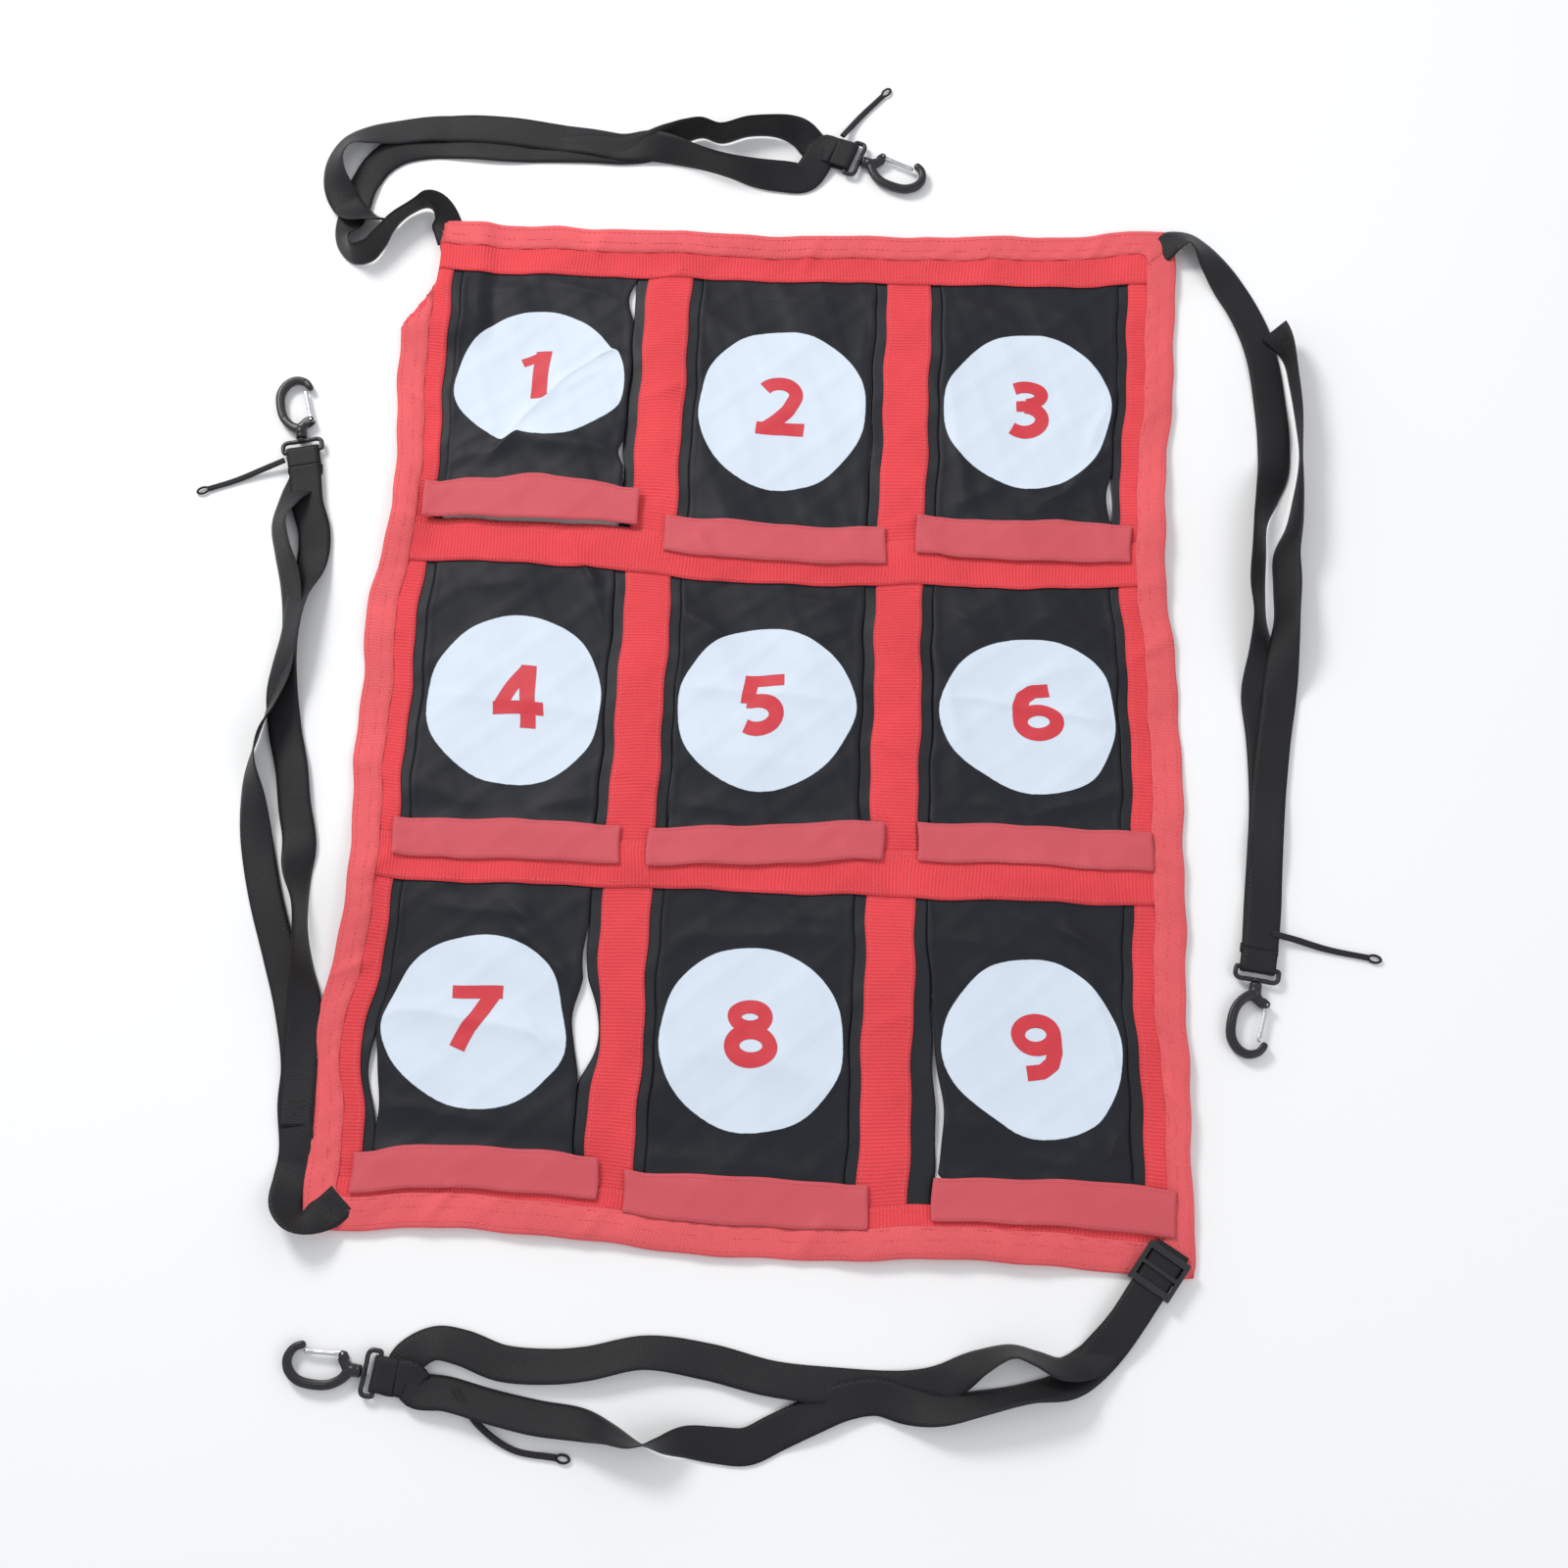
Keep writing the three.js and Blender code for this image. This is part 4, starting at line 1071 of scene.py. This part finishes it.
# Creases in millimetres from the middle of the opening's top edge: [from, to, height, half width, and how
# far the cloth on
# its right is drawn in or, as a pair, drawn in and slid along it].
CREASES = {
    1: [((-30, -190), (62, -76), 2.4, 6, (4, 12)), ((20, -144), (64, -98), 1.4, 6, 1),
    ((-64, -178), (-30, -168), 2, 7, 0),
        ((0, -186), (66, -178), 2.2, 6, 0), ((-66, -150), (-72, -40), 1.6, 9, 0),
        ((-50, -24), (-10, -16), 1.6, 7, 0),
        ((10, -14), (62, -26), 1.6, 7, 0), ((-68, -190), (40, -176), 2, 8, 0),
        ((40, -56), (70, -20), 1.4, 8, 0)],
    2: [((-65, -30), (-30, -60), 1.6, 8, 0), ((30, -196), (68, -206), 1.8, 8, 0),
    ((-68, -200), (-10, -205), 1.6, 8, 0),
        ((-66, -60), (-60, -190), 1, 8, 0), ((62, -40), (64, -180), 1, 6, 0),
        ((-30, -14), (40, -22), 1.2, 7, 0)],
    3: [((-66, -60), (-50, -190), 1.8, 8, 0), ((10, -196), (68, -160), 2.8, 6, 2),
    ((-8, -186), (66, -198), 2.2, 6, 1),
        ((-50, -16), (-10, -36), 2, 6, 0), ((0, -14), (44, -34), 1.8, 7, 0), ((48, -150), (68, -96), 2, 7, 0),
        ((-60, -196), (-20, -180), 1.6, 7, 0), ((30, -182), (66, -144), 2, 5, 1)],
    4: [((-64, -112), (60, -124), 1, 8, 0), ((-40, -22), (0, -16), 1.4, 8, 0),
    ((20, -196), (64, -186), 1.6, 8, 0),
        ((52, -20), (66, -60), 1.6, 6, 0), ((-66, -180), (-20, -196), 1.4, 8, 0)],
    5: [((-58, -98), (50, -110), 1.8, 7, 0), ((-66, -34), (-30, -56), 2, 7, 0),
    ((-60, -188), (0, -200), 2, 8, 0),
        ((30, -56), (66, -40), 1.6, 8, 0), ((-20, -150), (60, -170), 1.2, 10, 0),
        ((10, -14), (60, -20), 1.4, 7, 0)],
    6: [((-62, -102), (62, -122), 2, 6, 1), ((10, -24), (64, -52), 2, 7, 0),
    ((-66, -60), (-52, -180), 2, 7, 0),
        ((0, -196), (66, -176), 2.6, 6, 1), ((-10, -90), (46, -66), 1.4, 8, 0),
        ((-60, -20), (-30, -40), 1.8, 6, 0),
        ((-50, -190), (10, -200), 1.8, 7, 0)],
    7: [((-68, -106), (64, -128), 2, 8, 1), ((-66, -176), (10, -190), 1.8, 8, 0),
    ((20, -40), (66, -76), 2.2, 7, 0),
        ((-40, -20), (30, -30), 1.4, 8, 0), ((34, -110), (68, -150), 2, 7, 0),
        ((10, -16), (50, -50), 2, 6, 0)],
    8: [((-60, -40), (60, -32), 1.4, 9, 0), ((-66, -196), (60, -202), 1.8, 8, 0),
    ((-64, -60), (-60, -180), 1.2, 7, 0),
        ((-60, -128), (58, -140), 1, 10, 0), ((20, -14), (60, -22), 1.4, 6, 0)],
    9: [((-60, -168), (66, -192), 2, 8, 0), ((44, -56), (66, -150), 2.2, 7, 0),
    ((-60, -30), (20, -44), 1.8, 8, 0),
        ((-20, -192), (60, -202), 1.8, 7, 0), ((30, -20), (68, -52), 2.4, 6, 1),
        ((0, -14), (50, -34), 2, 6, 0),
        ((52, -186), (70, -170), 2.6, 6, 1)],
}
FLAP_H, FLAP_T = 1.0, 0.45


def crease_field(n, u, v):
    """Height of a flap's creases, and how far each draws the cloth beside it."""
    z, du, dv = np.zeros_like(u), np.zeros_like(u), np.zeros_like(u)
    for start, end, height, half, tuck in CREASES[n]:
        shape, off, fade, (a, b) = ridge(u, v, start, end, half, 14)
        z = z + height * shape
        drawn, slid = tuck if isinstance(tuck, tuple) else (tuck, 0)
        right = smoothstep(0.5 - off / (1.6 * half)) * np.exp(-((off / 46) ** 2)) * fade
        du, dv = du + (a * slid - b * drawn) * right, dv + (b * slid + a * drawn) * right
    return z, du, dv


def flap_place(n, tape=False):
    """How flap n's cloth lies. Its sides stay under the bars' edges, and its tape moves whole."""
    cx, top = COLUMN_X[(n - 1) % 3], ROW_TOP[(n - 1) // 3]
    (mx, my), (fx, fl, fr, lifted) = DRAWN[n]

    def place(u, v, h):
        u, v, h = (np.asarray(a, float) for a in (u, v, h))
        z, cu, cv = crease_field(n, u, v)
        inside = smoothstep(-v / 16) * smoothstep((v + 232) / 26)
        down = np.clip(-v / 221, 0, 1.1)
        away = np.clip(1 - (u / 71) ** 4, 0, 1)
        middle = np.sin(np.clip(down, 0, 1) * math.pi) * away
        foot = smoothstep((down - 0.3) / 0.65)
        held = 0 if tape else smoothstep((np.abs(u) - 35) / 33) * smoothstep((v + 214) / 12)
        du = mx * middle + fx * foot * (1 - held) + cu * inside * away
        dv = my * middle + (fl + (fr - fl) * (u + 86) / 172) * foot + cv * inside * away
        y = top + v
        for m, side, mid, half, pull, _ in SLITS:
            if m == n:
                du = du - side * pull * slit_shape(y, mid, half) * smoothstep((side * u - 24) / 46)
        if n == 9:
            du = du + 10 * smoothstep((-150 - y) / 180) * smoothstep((30 - u) / 100)
        rise = 2.0 * smoothstep((-v - 196) / 20)
        soft = 0.5 * np.sin(u / 21 + n) * np.sin(v / 27 + 2 * n) + 0.35 * np.sin(u / 9 + v / 13 + n)
        edge = 0.35 * np.exp(-(((np.abs(u) - FLAP_HALF + 3) / 1.6) ** 2))
        up = (z * 0.9 + np.maximum(0,
            soft + 0.4) + edge) * inside + rise + lifted * foot * (0.55 + 0.45 * np.cos(u / 55))
        return lay(cx + u + du, y + dv, h + up)

    return place


# Numerals as strokes: [points, width], 49 high, centred on 0, 0.
def arc(cx, cy, rx, ry, a0, a1, n=14):
    return [(cx + rx * math.cos(math.radians(a)),
        cy + ry * math.sin(math.radians(a))) for a in np.linspace(a0, a1, n)]


STROKES = {
    1: [([(4.2, -24.5), (4.2, 24.5)], 12.4), ([(3, 19.6), (-4, 15.8), (-11, 12.6)], 9)],
    2: [(arc(-1.4, 9.6, 13.6, 10, 148, -30) + [(5, -4), (-3, -12), (-9, -17.4), (-12.5, -20)], 11.2),
        ([(-18.4, -19.4), (18.6, -19.4)], 10.4)],
    3: [(arc(-2.2, 11.6, 12.8, 7.9, 132, -82), 10.4), (arc(-2.8, -8.8, 14.6, 10.8, 84, -134), 11),
    ([(-8.4, 2.4), (2, 2.6)], 9)],
    4: [([(6, 20.6), (-5, 6), (-14.6, -8)], 10.6), ([(-20, -9.4), (19.8, -9.4)], 9.8),
    ([(7.4, 24.5), (7.4, -24.5)], 12)],
    5: [([(-10.6, 19.6), (15, 19.6)], 9.9), ([(-9.4, 24.4), (-10.6, 1)], 10.4),
        ([(-11, 2.6)] + arc(-3, -8.4, 14.4, 11.3, 108, -132), 11)],
    6: [(arc(0.6, -8.7, 13.6, 10.6, 0, 360, 30), 10.8),
    ([(-13, -7), (-12.9, 4), (-9, 13.4), (-1, 18.8), (11.5, 19.6)], 11.2)],
    7: [([(-18.4, 19.4), (18.8, 19.4)], 10.4), ([(13, 19.6), (4.6, 7), (-5, -9), (-11.5, -24.5)], 11.6)],
    8: [(arc(0, 11.9, 11.4, 7.8, 0, 360, 30), 10.3), (arc(0, -9.2, 13.8, 10.3, 0, 360, 30), 11)],
    9: [(arc(-0.6, 8.7, 13.6, 10.6, 0, 360, 30), 10.8),
    ([(13, 7), (12.9, -4), (9, -13.4), (1, -18.8), (-11.5, -19.6)], 11.2)],
}


def numeral_mesh(n, place, cv, h):
    parts = []
    for k, (line, width) in enumerate(STROKES[n]):
        p = np.array(line, float)
        s = np.concatenate([[0], np.cumsum(np.linalg.norm(np.diff(p, axis=0), axis=1))])
        t = np.linspace(0, s[-1], max(4, int(s[-1] / 1.4)))
        c = np.stack([np.interp(t, s, p[:, i]) for i in (0, 1)], 1)
        if np.linalg.norm(p[0] - p[-1]) < 0.1:
            d = unit(np.roll(c[:-1], -1, 0) - np.roll(c[:-1], 1, 0))
            d = np.vstack([d, d[:1]])
        else:
            d = unit(np.gradient(c, axis=0))
        side = np.stack([-d[:, 1], d[:, 0]], 1)
        across = np.linspace(-width / 2, width / 2, 7)
        grid = c[:, None] + side[:, None] * across[None, :, None]
        u, v = grid[..., 0].ravel(), grid[..., 1].ravel() + cv
        points = np.stack(place(u, v, np.full(len(u), h + 0.03 * k)), 1)
        faces = [(i * 7 + j, i * 7 + j + 1, (i + 1) * 7 + j + 1,
            (i + 1) * 7 + j) for i in range(len(c) - 1) for j in range(6)]
        a, b, e = (points[q] for q in faces[0][:3])
        if np.cross(b - a, e - a)[2] < 0:
            faces = [tuple(reversed(f)) for f in faces]
        parts.append((points, faces, np.stack([u, v], 1)))
    return merged(parts)


def build_flap(n):
    place = flap_place(n)
    body = f"flap_{n}"
    us, vs = spaced(-FLAP_HALF, FLAP_HALF, 1.7), spaced(9, -226, 1.7)[::-1]
    cloth = new_object(f"flap_{n}_panel", *slab(us, vs, FLAP_H, FLAP_H + FLAP_T, place))
    finish_piece(cloth, "printed", None, [f"flap_{n}_cloth"])
    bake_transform(cloth)
    numeral = new_object(f"flap_{n}_numeral", *numeral_mesh(n, place, -CIRCLE_DOWN, FLAP_H + FLAP_T + 0.2))
    finish_piece(numeral, "numeral", body)
    tape_us, tape_vs = spaced(-86.5, 86.5, 2.4), spaced(-206, -236, 2.2)[::-1]
    put = flap_place(n, tape=True)
    tape = new_object(f"flap_{n}_tape", *slab(tape_us, tape_vs, 1.8, 2.9, put, turn_uv=True))
    finish_piece(tape, "strip", body, [f"flap_{n}_strip"])
    rows = []
    for v in (-208.2, -233.8):
        u = np.arange(-84, 84.1, 4)
        rows += stitch_row(np.stack(put(u, np.full(len(u), v), 2.92), 1), 3.4, 2.4, 0.38)
    thread = new_object(f"flap_{n}_tape_stitching", *merged(rows))
    finish_piece(thread, "strip", body)


build_frame()
build_hem()
build_facings()
build_stitching()
for number in range(1, 10):
    build_flap(number)


# ---------------------------------------------------------------- floor and light
def build_stage():
    size = 6.0
    mesh = bpy.data.meshes.new("floor")
    mesh.from_pydata([(-size, -size, 0), (size, -size, 0), (size, size, 0), (-size, size, 0)], [],
        [(0, 1, 2, 3)])
    floor = bpy.data.objects.new("floor", mesh)
    floor.location.z = -0.0004
    bpy.context.scene.collection.objects.link(floor)
    m, tree, shader = start_material("pale_floor", (0.93, 0.93, 0.93), 0.9, 0.2)
    coords = tree.nodes.new("ShaderNodeTexCoord").outputs["Object"]
    tint(tree, shader, (0.93, 0.93, 0.93), maths(tree, "MULTIPLY", noise(tree, coords, 3), 0.01))
    mesh.materials.append(m)


def area_light(name, location, size, watts, colour=(1, 1, 1)):
    data = bpy.data.lights.new(name, "AREA")
    data.shape, data.size, data.energy, data.color = "DISK", size, watts, colour
    obj = bpy.data.objects.new(name, data)
    obj.location = location
    obj.rotation_mode = "QUATERNION"
    obj.rotation_quaternion = (-Vector(location)).to_track_quat("-Z", "Y")
    bpy.context.scene.collection.objects.link(obj)


def build_light():
    world = bpy.data.worlds.new("studio")
    bpy.context.scene.world = world
    world.use_nodes = True
    world.node_tree.nodes["Background"].inputs[0].default_value = (0.95, 0.97, 1.0, 1)
    world.node_tree.nodes["Background"].inputs[1].default_value = 0.66
    area_light("key", (-1.4, 1.6, 1.9), 0.9, 46, (1, 0.99, 0.97))
    area_light("fill", (1.8, -1.2, 2.0), 1.6, 12, (0.95, 0.97, 1))
    scene = bpy.context.scene
    scene.view_settings.view_transform = "Standard"
    scene.view_settings.look = "None"


build_stage()
build_light()
